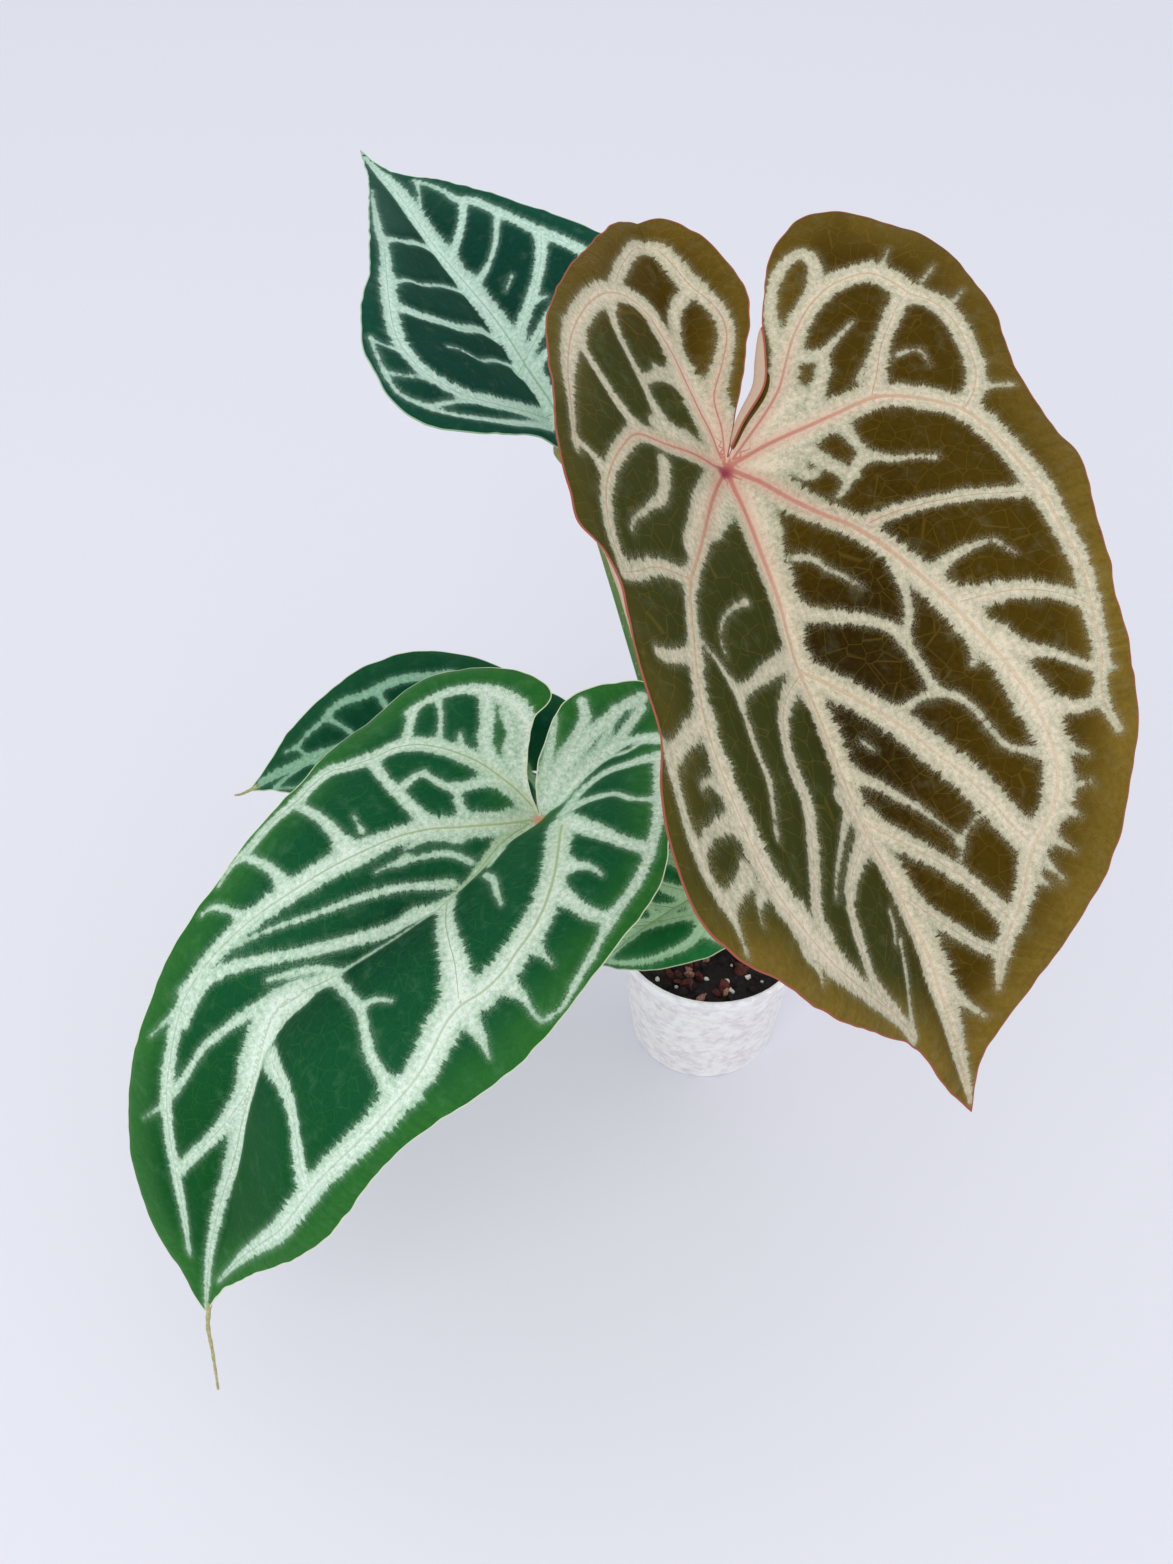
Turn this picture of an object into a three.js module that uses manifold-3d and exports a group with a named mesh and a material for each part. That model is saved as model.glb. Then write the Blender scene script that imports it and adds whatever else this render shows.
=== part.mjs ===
// Potted anthurium hybrid: a small translucent nursery pot of bark mix with a short stem and five
// heart-shaped leaves on long stalks. Millimetres, +Z up, +X to the right and +Y away from the
// viewer. The origin is the middle of the pot's base, on the surface that the pot stands on.
import * as THREE from 'three';
import Module from 'manifold-3d';
import { mergeVertices } from 'three/addons/utils/BufferGeometryUtils.js';

const wasm = await Module();
wasm.setup();

// Driving dimensions of the pot.
const POT_HEIGHT = 82;
const RIM_RADIUS = 52;
const BASE_RADIUS = 41;
const WALL = 1.4;
const LIP_WIDTH = 2.4;
const LIP_DEPTH = 5;
const FLOOR_TOP = 2;
const DRAIN_HOLES = 6;
const DRAIN_RADIUS = 3;
const DRAIN_CIRCLE = 28;
const POT_SIDES = 44;

// Driving dimensions of the potting mix and the plant's base.
const GAP = 0.35;
const MIX_LEVEL = 73;
const MIX_CROWN = 2.5;
const MIX_SIDES = 32;
const BARK_CHIPS = 38;
const PERLITE_GRAINS = 18;
const STEM_RADIUS = 5.6;
const STEM_FOOT = 52;
const STEM_TOP = 92;
const STALK_FOOT = 60;

// Driving dimensions that the five blades share.
const BLADE_THICKNESS = 0.9;
const RINGS = [0.12, 0.3, 0.5, 0.68, 0.84, 1];
const SECTION_STEPS = 14;
const LOBE_STATION = -0.35;
const LARGE_BLADE_SECTORS = 22;
const SMALL_BLADE_SECTORS = 13;
const RIB_STEP = 22;
const RIB_ROOT = 0.35;
const RIB_RELIEF = 0.5;

// The leaves. A blade is drawn flat first, in millimetres from the point where its stalk joins it:
// s runs along the midrib towards the tip, and t runs across it, to the right as seen from above
// with the tip away. The flat blade is then bent. Its midrib follows the spine, and its upper face
// looks along faceBase at the stalk and faceTip at the tip. A fold table holds the slope of the
// blade across the midrib in degrees, up being positive: one row each for the lobes, the stalk,
// the middle and the tip, and one column each for the midrib, two places between and the margin.
const LEAVES = [
  {
    name: 'leaf_bronze',
    colour: '#6b5422',
    halfWidth: 110,
    spine: [[-17, -56, 406], [-2, -106, 384], [18, -154, 350], [41, -184, 311], [70, -219, 241]],
    faceBase: [0.31, -0.58, 0.75],
    faceTip: [0.31, -0.58, 0.75],
    foldRight: [[26, 24, 20, 10], [28, 27, 22, 12], [30, 28, 24, 14], [26, 24, 22, 20]],
    foldLeft: [[24, 24, 22, 18], [26, 28, 28, 26], [26, 28, 30, 32], [24, 24, 24, 24]],
    crease: [[0, 0], [257, 0]],
    roll: { side: -1, centre: 62, reach: 45, from: 0.72, to: 1, angle: 110 },
    ripple: { height: 2, waves: 7, phase: 0.4 },
    sinus: [-6, 3],
    outlineRight: [[-30, 16], [-60, 32.5], [-86, 47], [-95, 61], [-88, 81], [-73, 98], [-53, 109],
      [-22, 111], [4, 109], [37, 115], [83, 108], [120, 102], [141, 98], [174, 77], [198, 54],
      [225, 22], [236, 10], [257, 0]],
    outlineLeft: [[-25, 11], [-46, 21], [-65, 28], [-81, 28], [-102, 21], [-117, 7], [-115, -9],
      [-90, -37], [-64, -59], [-41, -73], [-11, -83], [20, -91], [50, -97], [80, -101], [108, -104],
      [133, -101], [150, -87], [173, -68], [197, -40], [216, -20], [236, -12], [257, 0]],
    ribs: [
      { width: 3.4, path: [[4, 0], [60, 0], [120, -2], [180, 1], [240, 1]] },
      { width: 2.6, path: [[2, 3], [20, 22], [55, 58], [100, 80], [140, 74], [176, 55]] },
      { width: 2.6, path: [[0, 4], [-14, 30], [-28, 62], [-20, 90], [20, 100], [64, 97]] },
      { width: 2.2, path: [[-4, 6], [-38, 38], [-70, 62], [-66, 84], [-44, 92]] },
      { width: 2.6, path: [[2, -3], [20, -20], [60, -45], [110, -70], [150, -58], [196, -28]] },
      { width: 2.6, path: [[0, -4], [-10, -30], [-6, -58], [24, -78], [70, -84], [108, -86]] },
      { width: 2.2, path: [[-4, -3], [-40, -8], [-76, -14], [-84, -30], [-62, -48]] },
      { width: 2.0, path: [[82, 1], [112, 36], [146, 62]] },
      { width: 2.0, path: [[66, -1], [92, -24], [128, -48]] },
    ],
    stalk: {
      azimuth: -30,
      radius: 2.8,
      path: [[12, -11, 130], [11, -21, 230], [0, -36, 330], [-13, -46, 385]],
    },
  },
  {
    name: 'leaf_green',
    colour: '#1c5a2c',
    halfWidth: 105,
    spine: [[-88, -84, 255], [-120, -116, 248], [-152, -145, 239], [-180, -171, 218],
      [-207, -194, 163], [-234, -219, 83]],
    faceBase: [-0.28, -0.45, 0.84],
    faceTip: [-0.37, -0.72, 0.587],
    foldRight: [[28, 10, -10, -25], [45, 20, -20, -32], [42, 10, -28, -34], [20, -5, -20, -25]],
    foldLeft: [[20, 10, -10, -25], [20, 10, -12, -28], [22, 5, -15, -28], [10, -5, -20, -25]],
    crease: [[0, 0], [60, 2], [110, -6], [150, -12], [190, -6], [230, 0], [288, 0]],
    roll: null,
    ripple: { height: 1.6, waves: 6, phase: 1.1 },
    sinus: [-4, -4],
    outlineRight: [[-14, -12], [-27, -22], [-47, -33], [-64, -28], [-81, -13], [-72, 6], [-34, 47],
      [-16, 64], [0, 74], [30, 78], [59, 82], [91, 82], [139, 67], [199, 50], [245, 20], [268, 6],
      [288, 0]],
    outlineLeft: [[-14, -14.5], [-30, -31.5], [-42, -44], [-46, -55], [-37, -70], [-17, -89],
      [8, -92], [42, -90], [92, -76], [126, -69], [159, -67], [199, -65], [230, -56], [257, -38],
      [273, -17], [288, 0]],
    ribs: [
      { width: 3.4, path: [[4, 0], [50, 4], [90, 2], [130, -15], [180, -8], [270, -2]] },
      { width: 2.6, path: [[2, 3], [30, 30], [80, 52], [140, 44], [200, 26], [250, 8]] },
      { width: 2.6, path: [[0, 4], [-24, 26], [-16, 46], [30, 62], [90, 66]] },
      { width: 2.2, path: [[-5, -3], [-36, -18], [-60, -14], [-52, 8]] },
      { width: 2.6, path: [[2, -3], [20, -36], [70, -52], [130, -50], [200, -44], [258, -20]] },
      { width: 2.4, path: [[0, -5], [-16, -40], [-8, -66], [40, -76], [90, -68]] },
      { width: 2.0, path: [[84, 4], [104, 26], [128, 42]] },
      { width: 2.0, path: [[136, -14], [160, 14], [190, 24]] },
      { width: 2.0, path: [[108, -6], [130, -30], [166, -40]] },
    ],
    stalk: {
      azimuth: -150,
      radius: 2.8,
      path: [[-17, -14, 110], [-38, -34, 160], [-64, -58, 212]],
    },
    driedTip: [[-234, -222, 77], [-233, -228, 66], [-231, -239, 51]],
  },
  {
    name: 'leaf_dark',
    colour: '#123c30',
    halfWidth: 90,
    spine: [[-79, 71, 343], [-104, 107, 363], [-144, 171, 389], [-188, 268, 401]],
    faceBase: [0.1, 0, 1],
    faceTip: [0.1, -0.2, 1],
    foldRight: [[30, 22, 10, 0], [35, 28, 15, 5], [35, 28, 15, 5], [20, 10, 5, 0]],
    foldLeft: [[30, 22, 10, 0], [35, 28, 15, 5], [35, 28, 15, 5], [20, 10, 5, 0]],
    crease: [[0, 0], [235, 0]],
    roll: null,
    ripple: { height: 1.4, waves: 6, phase: 2 },
    sinus: [-3, 0],
    outlineRight: [[-4, 12], [-3, 29], [-4, 51], [-2, 69], [5, 84], [17, 91], [30, 93], [44, 90],
      [62, 82], [76, 73], [91, 60], [108, 49], [145, 31], [191, 14], [235, 0]],
    outlineLeft: [[-14, -8], [-24, -22], [-24, -44], [-10, -68], [16, -84], [50, -87], [76, -80],
      [105, -62], [135, -45], [171, -25], [194, -10], [211, -4], [235, 0]],
    ribs: [
      { width: 3, path: [[4, 0], [60, -2], [120, -3], [220, 0]] },
      { width: 2.2, path: [[2, 3], [18, 40], [50, 62], [84, 52], [118, 34]] },
      { width: 2.2, path: [[2, -3], [10, -36], [46, -62], [90, -56], [136, -32]] },
      { width: 1.8, path: [[50, 0], [66, 24], [92, 38]] },
      { width: 1.8, path: [[50, -2], [66, -28], [96, -46]] },
      { width: 1.8, path: [[96, -3], [116, -22], [144, -28]] },
    ],
    stalk: {
      azimuth: 100,
      radius: 2.5,
      path: [[-14, 22, 130], [-38, 41, 215], [-64, 61, 300]],
    },
  },
  {
    name: 'leaf_low',
    colour: '#1d5a35',
    halfWidth: 60,
    spine: [[-98, 4, 202], [-135, 11, 215], [-185, 11, 209], [-241, 13, 175]],
    faceBase: [-0.1, -0.2, 1],
    faceTip: [-0.2, -0.5, 0.9],
    foldRight: [[20, 10, 0, -15], [25, 12, -5, -20], [25, 12, -5, -20], [15, 5, 0, -10]],
    foldLeft: [[20, 10, 0, -15], [25, 12, -5, -20], [25, 12, -5, -20], [15, 5, 0, -10]],
    crease: [[0, 0], [156, 0]],
    roll: null,
    ripple: { height: 1.2, waves: 5, phase: 0 },
    sinus: [-4, 0],
    outlineRight: [[-16, 4], [-30, 11], [-38, 22], [-34, 36], [-16, 44], [10, 47], [40, 46],
      [70, 40], [98, 29], [124, 16], [142, 6], [156, 0]],
    outlineLeft: [[-16, -4], [-30, -10], [-35, -20], [-30, -32], [-12, -40], [14, -42], [30, -43],
      [48, -47], [63, -44], [81, -38], [98, -28], [126, -15], [142, -6], [156, 0]],
    ribs: [
      { width: 2.6, path: [[4, 0], [50, 0], [100, 0], [146, 0]] },
      { width: 1.8, path: [[2, 3], [22, 24], [56, 33], [96, 20]] },
      { width: 1.8, path: [[2, -3], [22, -24], [56, -33], [96, -19]] },
      { width: 1.6, path: [[-4, 3], [-20, 20], [-10, 33]] },
      { width: 1.6, path: [[-4, -3], [-20, -18], [-10, -31]] },
    ],
    stalk: {
      azimuth: 165,
      radius: 2.1,
      path: [[-20, 5, 110], [-48, 6, 150], [-80, 5, 188]],
    },
    driedTip: [[-240, 13, 175.6], [-244, 12, 174], [-247, 10, 175]],
  },
  {
    name: 'leaf_small',
    colour: '#246b40',
    halfWidth: 40,
    spine: [[1, -74, 210], [-18, -85, 207], [-40, -91, 193], [-63, -91, 164]],
    faceBase: [-0.1, -0.35, 1],
    faceTip: [-0.3, -0.5, 0.9],
    foldRight: [[20, 10, 0, -15], [25, 12, -5, -20], [25, 12, -5, -20], [15, 5, 0, -10]],
    foldLeft: [[20, 10, 0, -15], [25, 12, -5, -20], [25, 12, -5, -20], [15, 5, 0, -10]],
    crease: [[0, 0], [86, 0]],
    roll: null,
    ripple: { height: 0.8, waves: 4, phase: 0 },
    sinus: [-3, 0],
    outlineRight: [[-11, 3], [-19, 7], [-24, 15], [-18, 24], [-4, 29], [12, 30], [28, 30], [40, 27],
      [56, 20], [72, 10], [86, 0]],
    outlineLeft: [[-11, -3], [-19, -7], [-24, -14], [-19, -23], [-4, -28], [14, -30], [36, -28],
      [56, -20], [72, -9], [86, 0]],
    ribs: [
      { width: 2, path: [[3, 0], [40, 0], [80, 0]] },
      { width: 1.5, path: [[2, 2], [18, 17], [38, 20], [58, 11]] },
      { width: 1.5, path: [[2, -2], [18, -17], [38, -20], [58, -11]] },
    ],
    stalk: {
      azimuth: -95,
      radius: 1.9,
      path: [[0, -20, 110], [3, -42, 155], [4, -60, 190]],
    },
  },
];

const radians = THREE.MathUtils.degToRad;
const smooth = (x) => x * x * (3 - 2 * x);
const clamp = THREE.MathUtils.clamp;
const vector = ([x, y, z]) => new THREE.Vector3(x, y, z);

// Value at x of the broken line through [place, value] pairs.
function along(pairs, x) {
  if (x <= pairs[0][0]) return pairs[0][1];
  for (let i = 1; i < pairs.length; i += 1) {
    const [a, b] = [pairs[i - 1], pairs[i]];
    if (x <= b[0]) return a[1] + ((b[1] - a[1]) * (x - a[0])) / (b[0] - a[0]);
  }
  return pairs[pairs.length - 1][1];
}

// The bent surface of one blade, half way through its thickness.
class BladeSurface {
  constructor(leaf) {
    this.leaf = leaf;
    this.curve = new THREE.CatmullRomCurve3(leaf.spine.map(vector), false, 'centripetal');
    this.length = this.curve.getLength();
    this.faceBase = vector(leaf.faceBase).normalize();
    this.faceTip = vector(leaf.faceTip).normalize();
  }

  // Point, forward, upward and sideways directions of the midrib at s. Behind the stalk the
  // lobes carry straight on.
  frame(s) {
    const share = clamp(s / this.length, 0, 1);
    const point = this.curve.getPointAt(share);
    const forward = this.curve.getTangentAt(share).normalize();
    const up = this.faceBase.clone().lerp(this.faceTip, smooth(share));
    up.addScaledVector(forward, -up.dot(forward)).normalize();
    point.addScaledVector(forward, s - share * this.length);
    const sideways = up.clone().cross(forward);
    return { point, forward, up, sideways };
  }

  // Slope across the midrib at s, and at the share u of the half width.
  slope(s, u, side) {
    const { foldRight, foldLeft, roll } = this.leaf;
    const table = side > 0 ? foldRight : foldLeft;
    const stations = [[LOBE_STATION, 0], [0, 1], [0.5, 2], [1, 3]];
    const row = clamp(along(stations, s / this.length), 0, 2.9999);
    const column = clamp(u * 3, 0, 2.9999);
    const [i, j] = [Math.floor(row), Math.floor(column)];
    const upper = table[i][j] + (table[i][j + 1] - table[i][j]) * (column - j);
    const lower = table[i + 1][j] + (table[i + 1][j + 1] - table[i + 1][j]) * (column - j);
    let degrees = upper + (lower - upper) * smooth(row - i);
    if (roll && roll.side === side) {
      const near = smooth(clamp(1 - ((s - roll.centre) / roll.reach) ** 2, 0, 1));
      const outer = smooth(clamp((u - roll.from) / (roll.to - roll.from), 0, 1));
      degrees += roll.angle * near * outer;
    }
    return radians(degrees);
  }

  point(s, t) {
    const { halfWidth, crease, ripple } = this.leaf;
    const { point, up, sideways } = this.frame(s);
    const valley = along(crease, s);
    const side = t < valley ? -1 : 1;
    const step = Math.abs(t - valley) / SECTION_STEPS;
    let across = valley;
    let rise = 0;
    for (let k = 0; k < SECTION_STEPS; k += 1) {
      const angle = this.slope(s, ((k + 0.5) * step) / halfWidth, side);
      across += side * Math.cos(angle) * step;
      rise += Math.sin(angle) * step;
    }
    const wave = (2 * Math.PI * ripple.waves * s) / this.length + ripple.phase;
    const edge = Math.min(Math.abs(t) / halfWidth, 1.2) ** 2;
    rise += ripple.height * edge * Math.sin(wave + (side > 0 ? 0 : 1.7));
    rise -= 4 * Math.exp(-(s * s + t * t) / 196);
    return point.addScaledVector(sideways, across).addScaledVector(up, rise);
  }

  normal(s, t) {
    const step = 0.5;
    const ahead = this.point(s + step, t).sub(this.point(s - step, t));
    const across = this.point(s, t + step).sub(this.point(s, t - step));
    return ahead.cross(across).normalize();
  }
}

// Closed solid from triangles, with vertices that coincide merged.
function solidFrom(positions, triangles) {
  const geometry = new THREE.BufferGeometry();
  geometry.setAttribute('position', new THREE.Float32BufferAttribute(positions, 3));
  if (triangles) geometry.setIndex(triangles);
  return solidOf(geometry);
}

function solidOf(geometry) {
  const bare = geometry.clone();
  bare.deleteAttribute('normal');
  bare.deleteAttribute('uv');
  const merged = mergeVertices(bare, 1e-4);
  const { position } = merged.attributes;
  return new wasm.Manifold(new wasm.Mesh({
    numProp: 3,
    vertProperties: new Float32Array(position.array),
    triVerts: new Uint32Array(merged.index.array),
  }));
}

// Triangles of the largest closed shell, without loose scraps and sealed hollows.
function largestShell(vertices, triangles) {
  const parent = Array.from({ length: vertices.length / 3 }, (_, i) => i);
  const root = (i) => {
    let top = i;
    while (parent[top] !== top) top = parent[top];
    parent[i] = top;
    return top;
  };
  for (let i = 0; i < triangles.length; i += 3) {
    parent[root(triangles[i + 1])] = root(triangles[i]);
    parent[root(triangles[i + 2])] = root(triangles[i]);
  }
  const corner = (i) => new THREE.Vector3().fromArray(vertices, 3 * triangles[i]);
  const volumes = new Map();
  for (let i = 0; i < triangles.length; i += 3) {
    const volume = corner(i).dot(corner(i + 1).cross(corner(i + 2)));
    const shell = root(triangles[i]);
    volumes.set(shell, (volumes.get(shell) ?? 0) + volume);
  }
  const [largest] = [...volumes].reduce((best, entry) => (entry[1] > best[1] ? entry : best));
  const kept = [];
  for (let i = 0; i < triangles.length; i += 3) {
    if (root(triangles[i]) === largest) kept.push(triangles[i], triangles[i + 1], triangles[i + 2]);
  }
  return kept;
}

function geometryOf(solid) {
  const mesh = solid.getMesh();
  const geometry = new THREE.BufferGeometry();
  geometry.setAttribute('position', new THREE.BufferAttribute(mesh.vertProperties, 3));
  geometry.setIndex(largestShell(mesh.vertProperties, mesh.triVerts));
  geometry.computeVertexNormals();
  return geometry;
}

// Tube of oval section along points, with its own half width and half height at each.
function taperedTube(points, sizes, ups, sides) {
  const positions = [];
  const triangles = [];
  points.forEach((point, i) => {
    const before = points[Math.max(i - 1, 0)];
    const after = points[Math.min(i + 1, points.length - 1)];
    const forward = after.clone().sub(before).normalize();
    const sideways = forward.clone().cross(ups[i]).normalize();
    const up = sideways.clone().cross(forward);
    for (let k = 0; k < sides; k += 1) {
      const angle = (2 * Math.PI * k) / sides - Math.PI / 2;
      const corner = point.clone()
        .addScaledVector(sideways, Math.cos(angle) * sizes[i][0])
        .addScaledVector(up, Math.sin(angle) * sizes[i][1]);
      positions.push(corner.x, corner.y, corner.z);
    }
  });
  const last = points.length - 1;
  for (let i = 0; i < last; i += 1) {
    for (let k = 0; k < sides; k += 1) {
      const [a, b] = [i * sides + k, i * sides + ((k + 1) % sides)];
      triangles.push(a, a + sides, b, b, a + sides, b + sides);
    }
  }
  const start = positions.length / 3;
  positions.push(...points[0].toArray(), ...points[last].toArray());
  for (let k = 0; k < sides; k += 1) {
    const next = (k + 1) % sides;
    triangles.push(start, k, next);
    triangles.push(start + 1, last * sides + next, last * sides + k);
  }
  return solidFrom(positions, triangles);
}

// Outline of the flat blade as points that run round it once from the sinus, where the lobes meet.
function flatOutline(leaf) {
  const side = (points, count) => {
    const curve = new THREE.CatmullRomCurve3(
      [leaf.sinus, ...points].map(([s, t]) => new THREE.Vector3(s, t, 0)), false, 'centripetal');
    return curve.getSpacedPoints(count).map((p) => [p.x, p.y]);
  };
  const count = leaf.halfWidth > 70 ? LARGE_BLADE_SECTORS : SMALL_BLADE_SECTORS;
  const left = side(leaf.outlineLeft, count);
  const right = side(leaf.outlineRight, count).reverse();
  return [...left, ...right.slice(1, -1)];
}

// A blade is split into rings and sectors round the stalk, alike on its upper and lower face.
class BladeSolid {
  constructor(leaf) {
    this.surface = new BladeSurface(leaf);
    this.outline = flatOutline(leaf);
    this.count = this.outline.length;
    this.upper = [this.facePoint(0, 0, 1)];
    this.lower = [this.facePoint(0, 0, -1)];
    RINGS.forEach((share) => this.outline.forEach(([s, t]) => {
      this.upper.push(this.facePoint(s * share, t * share, 1));
      this.lower.push(this.facePoint(s * share, t * share, -1));
    }));
  }

  facePoint(s, t, side) {
    const offset = (side * BLADE_THICKNESS) / 2;
    return this.surface.point(s, t).addScaledVector(this.surface.normal(s, t), offset);
  }

  vertex(ring, sector) {
    return ring < 0 ? 0 : 1 + ring * this.count + (sector % this.count);
  }

  // The two triangles, or the one at the stalk, between a ring and the next one out.
  cell(ring, sector) {
    const [a, b] = [this.vertex(ring, sector), this.vertex(ring, sector + 1)];
    const [c, d] = [this.vertex(ring + 1, sector), this.vertex(ring + 1, sector + 1)];
    return ring < 0 ? [[a, c, d]] : [[a, c, d], [a, d, b]];
  }

  solid() {
    const positions = [...this.upper, ...this.lower].flatMap((p) => p.toArray());
    const under = this.upper.length;
    const triangles = [];
    for (let sector = 0; sector < this.count; sector += 1) {
      for (let ring = -1; ring < RINGS.length - 1; ring += 1) {
        this.cell(ring, sector).forEach(([a, b, c]) => {
          triangles.push(a, b, c, under + a, under + c, under + b);
        });
      }
      const [a, b] = [this.vertex(RINGS.length - 1, sector), this.vertex(RINGS.length - 1, sector + 1)];
      triangles.push(a, under + a, b, b, under + a, under + b);
    }
    return solidFrom(positions, triangles);
  }

  // Point on the faceted lower face under the flat place (s, t).
  onLowerFace(s, t) {
    for (let sector = 0; sector < this.count; sector += 1) {
      const [[s0, t0], [s1, t1]] = [this.outline[sector], this.outline[(sector + 1) % this.count]];
      const area = s0 * t1 - s1 * t0;
      const a = (s * t1 - s1 * t) / area;
      const b = (s0 * t - s * t0) / area;
      if (a < -1e-9 || b < -1e-9) continue;
      const share = Math.min(a + b, 0.999);
      const ring = RINGS.findIndex((limit) => share < limit) - 1;
      const inner = ring < 0 ? 0 : RINGS[ring];
      const mix = (share - inner) / (RINGS[ring + 1] - inner);
      const turn = b / (a + b);
      const corner = (k, n) => this.lower[this.vertex(ring + k, sector + n)];
      // Inside a cell the face is flat on each side of its diagonal.
      const outerShare = RINGS[ring + 1] * mix;
      const cross = ring < 0 ? 1 : outerShare / (inner * (1 - mix) + outerShare);
      if (turn <= cross) {
        const slide = turn / cross;
        const far = corner(1, 0).clone().lerp(corner(1, 1), slide);
        return corner(0, 0).clone().lerp(far, mix);
      }
      const near = corner(0, 0).clone().lerp(corner(0, 1), (turn - cross) / (1 - cross + 1e-9));
      return near.lerp(corner(1, 1), mix);
    }
    return this.lower[0].clone();
  }

  // A rib stands out of the lower face, widest at the stalk and fading towards its end.
  rib({ width, path }) {
    const flat = new THREE.CatmullRomCurve3(
      path.map(([s, t]) => new THREE.Vector3(s, t, 0)), false, 'centripetal');
    const steps = Math.max(3, Math.round(flat.getLength() / RIB_STEP));
    const places = flat.getSpacedPoints(steps);
    const points = places.map(({ x, y }) => this.onLowerFace(x, y));
    const ups = places.map(({ x, y }) => this.surface.normal(x, y));
    const sizes = places.map((_, i) => {
      const taper = 1 - 0.55 * (i / steps);
      return [(width / 2) * taper, (RIB_ROOT + RIB_RELIEF * width * taper) / 1.5];
    });
    points.forEach((point, i) => point.addScaledVector(ups[i], RIB_ROOT - sizes[i][1] / 2));
    return taperedTube(points, sizes, ups, 3);
  }
}

// The stalk rises beside the stem, bends out to its blade and meets it from below, thicker there.
function stalkSolid(leaf, blade) {
  const { azimuth, radius, path } = leaf.stalk;
  const reach = STEM_RADIUS + radius + GAP;
  const [x, y] = [Math.cos(radians(azimuth)) * reach, Math.sin(radians(azimuth)) * reach];
  const top = blade.surface.point(0, 0);
  const up = blade.surface.normal(0, 0);
  const points = [
    new THREE.Vector3(x, y, STALK_FOOT),
    new THREE.Vector3(x, y, MIX_LEVEL),
    new THREE.Vector3(x, y, STEM_TOP - 6),
    ...path.map(vector),
    top.clone().addScaledVector(up, -9),
    top.clone().addScaledVector(up, 0.2),
  ];
  const curve = new THREE.CatmullRomCurve3(points, false, 'centripetal');
  const length = curve.getLength();
  const steps = Math.round(length / 22) + 4;
  const places = curve.getSpacedPoints(steps);
  const sizes = places.map((_, i) => {
    const left = (1 - i / steps) * length;
    const swelling = 1 + 0.35 * Math.exp(-((left / 14) ** 2));
    return [radius * swelling, radius * swelling];
  });
  const ups = places.map(() => new THREE.Vector3(0.3, 1, 0.1).normalize());
  return taperedTube(places, sizes, ups, 8);
}

// The drip tip of an old leaf dries to a brown thread.
function driedTipSolid(leaf, blade) {
  const start = blade.surface.point(blade.surface.length - 7, 0);
  const curve = new THREE.CatmullRomCurve3([start, ...leaf.driedTip.map(vector)], false, 'centripetal');
  const steps = 8;
  const places = curve.getSpacedPoints(steps);
  const sizes = places.map((_, i) => [1.1 - (0.6 * i) / steps, 1.1 - (0.6 * i) / steps]);
  const ups = places.map(() => new THREE.Vector3(0, -1, 0.2).normalize());
  return taperedTube(places, sizes, ups, 5);
}

function leafGeometry(leaf) {
  const blade = new BladeSolid(leaf);
  let solid = blade.solid();
  leaf.ribs.forEach((rib) => {
    solid = solid.add(blade.rib(rib));
  });
  solid = solid.add(stalkSolid(leaf, blade));
  if (leaf.driedTip) solid = solid.add(driedTipSolid(leaf, blade));
  return geometryOf(solid);
}

// Inner face of the pot's wall.
function innerRadius(z) {
  const top = RIM_RADIUS - LIP_WIDTH - WALL / 2;
  const bottom = BASE_RADIUS - WALL;
  return bottom + ((top - bottom) * (z - FLOOR_TOP)) / (POT_HEIGHT - FLOOR_TOP);
}

function turned(profile, sides) {
  return solidOf(new THREE.LatheGeometry(profile.map(([r, z]) => new THREE.Vector2(r, z)), sides)
    .rotateX(Math.PI / 2));
}

function cylinder(radius, bottom, top, sides) {
  return turned([[0, bottom], [radius, bottom], [radius, top], [0, top]], sides);
}

// The pot: a thin tapered wall, a rolled lip, and a flat floor with drain holes.
function potGeometry() {
  const lipFoot = POT_HEIGHT - LIP_DEPTH;
  const lipInner = RIM_RADIUS - LIP_WIDTH;
  const profile = [
    [0, 0],
    [BASE_RADIUS - 1, 0],
    [BASE_RADIUS, 1],
    [innerRadius(lipFoot - 1) + WALL, lipFoot - 1],
    [RIM_RADIUS - 0.6, lipFoot],
    [RIM_RADIUS, lipFoot + 0.8],
    [RIM_RADIUS, POT_HEIGHT - 1.2],
    [RIM_RADIUS - 0.7, POT_HEIGHT - 0.2],
    [RIM_RADIUS - 1.3, POT_HEIGHT],
    [lipInner + 0.2, POT_HEIGHT - 0.5],
    [lipInner - WALL / 2, POT_HEIGHT - 1.8],
    [innerRadius(FLOOR_TOP), FLOOR_TOP],
    [0, FLOOR_TOP],
  ];
  let solid = turned(profile, POT_SIDES);
  for (let i = 0; i < DRAIN_HOLES; i += 1) {
    const angle = (2 * Math.PI * i) / DRAIN_HOLES;
    const hole = cylinder(DRAIN_RADIUS, -1, FLOOR_TOP + 1, 16);
    solid = solid.subtract(
      hole.translate([Math.cos(angle) * DRAIN_CIRCLE, Math.sin(angle) * DRAIN_CIRCLE, 0]));
  }
  return geometryOf(solid);
}

// Small repeatable generator of numbers from 0 to 1.
function drawsFrom(seed) {
  let state = seed;
  return () => {
    state = (Math.imul(state, 1664525) + 1013904223) >>> 0;
    return state / 4294967296;
  };
}

const bump = (x, y) => 0.8 * Math.sin(x * 0.31 + 1) * Math.cos(y * 0.27) + 0.6 * Math.sin(x * 0.13 - y * 0.42);
const mixHeight = (x, y) => MIX_LEVEL + MIX_CROWN * (1 - Math.hypot(x, y) / innerRadius(MIX_LEVEL)) + bump(x, y);

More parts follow.
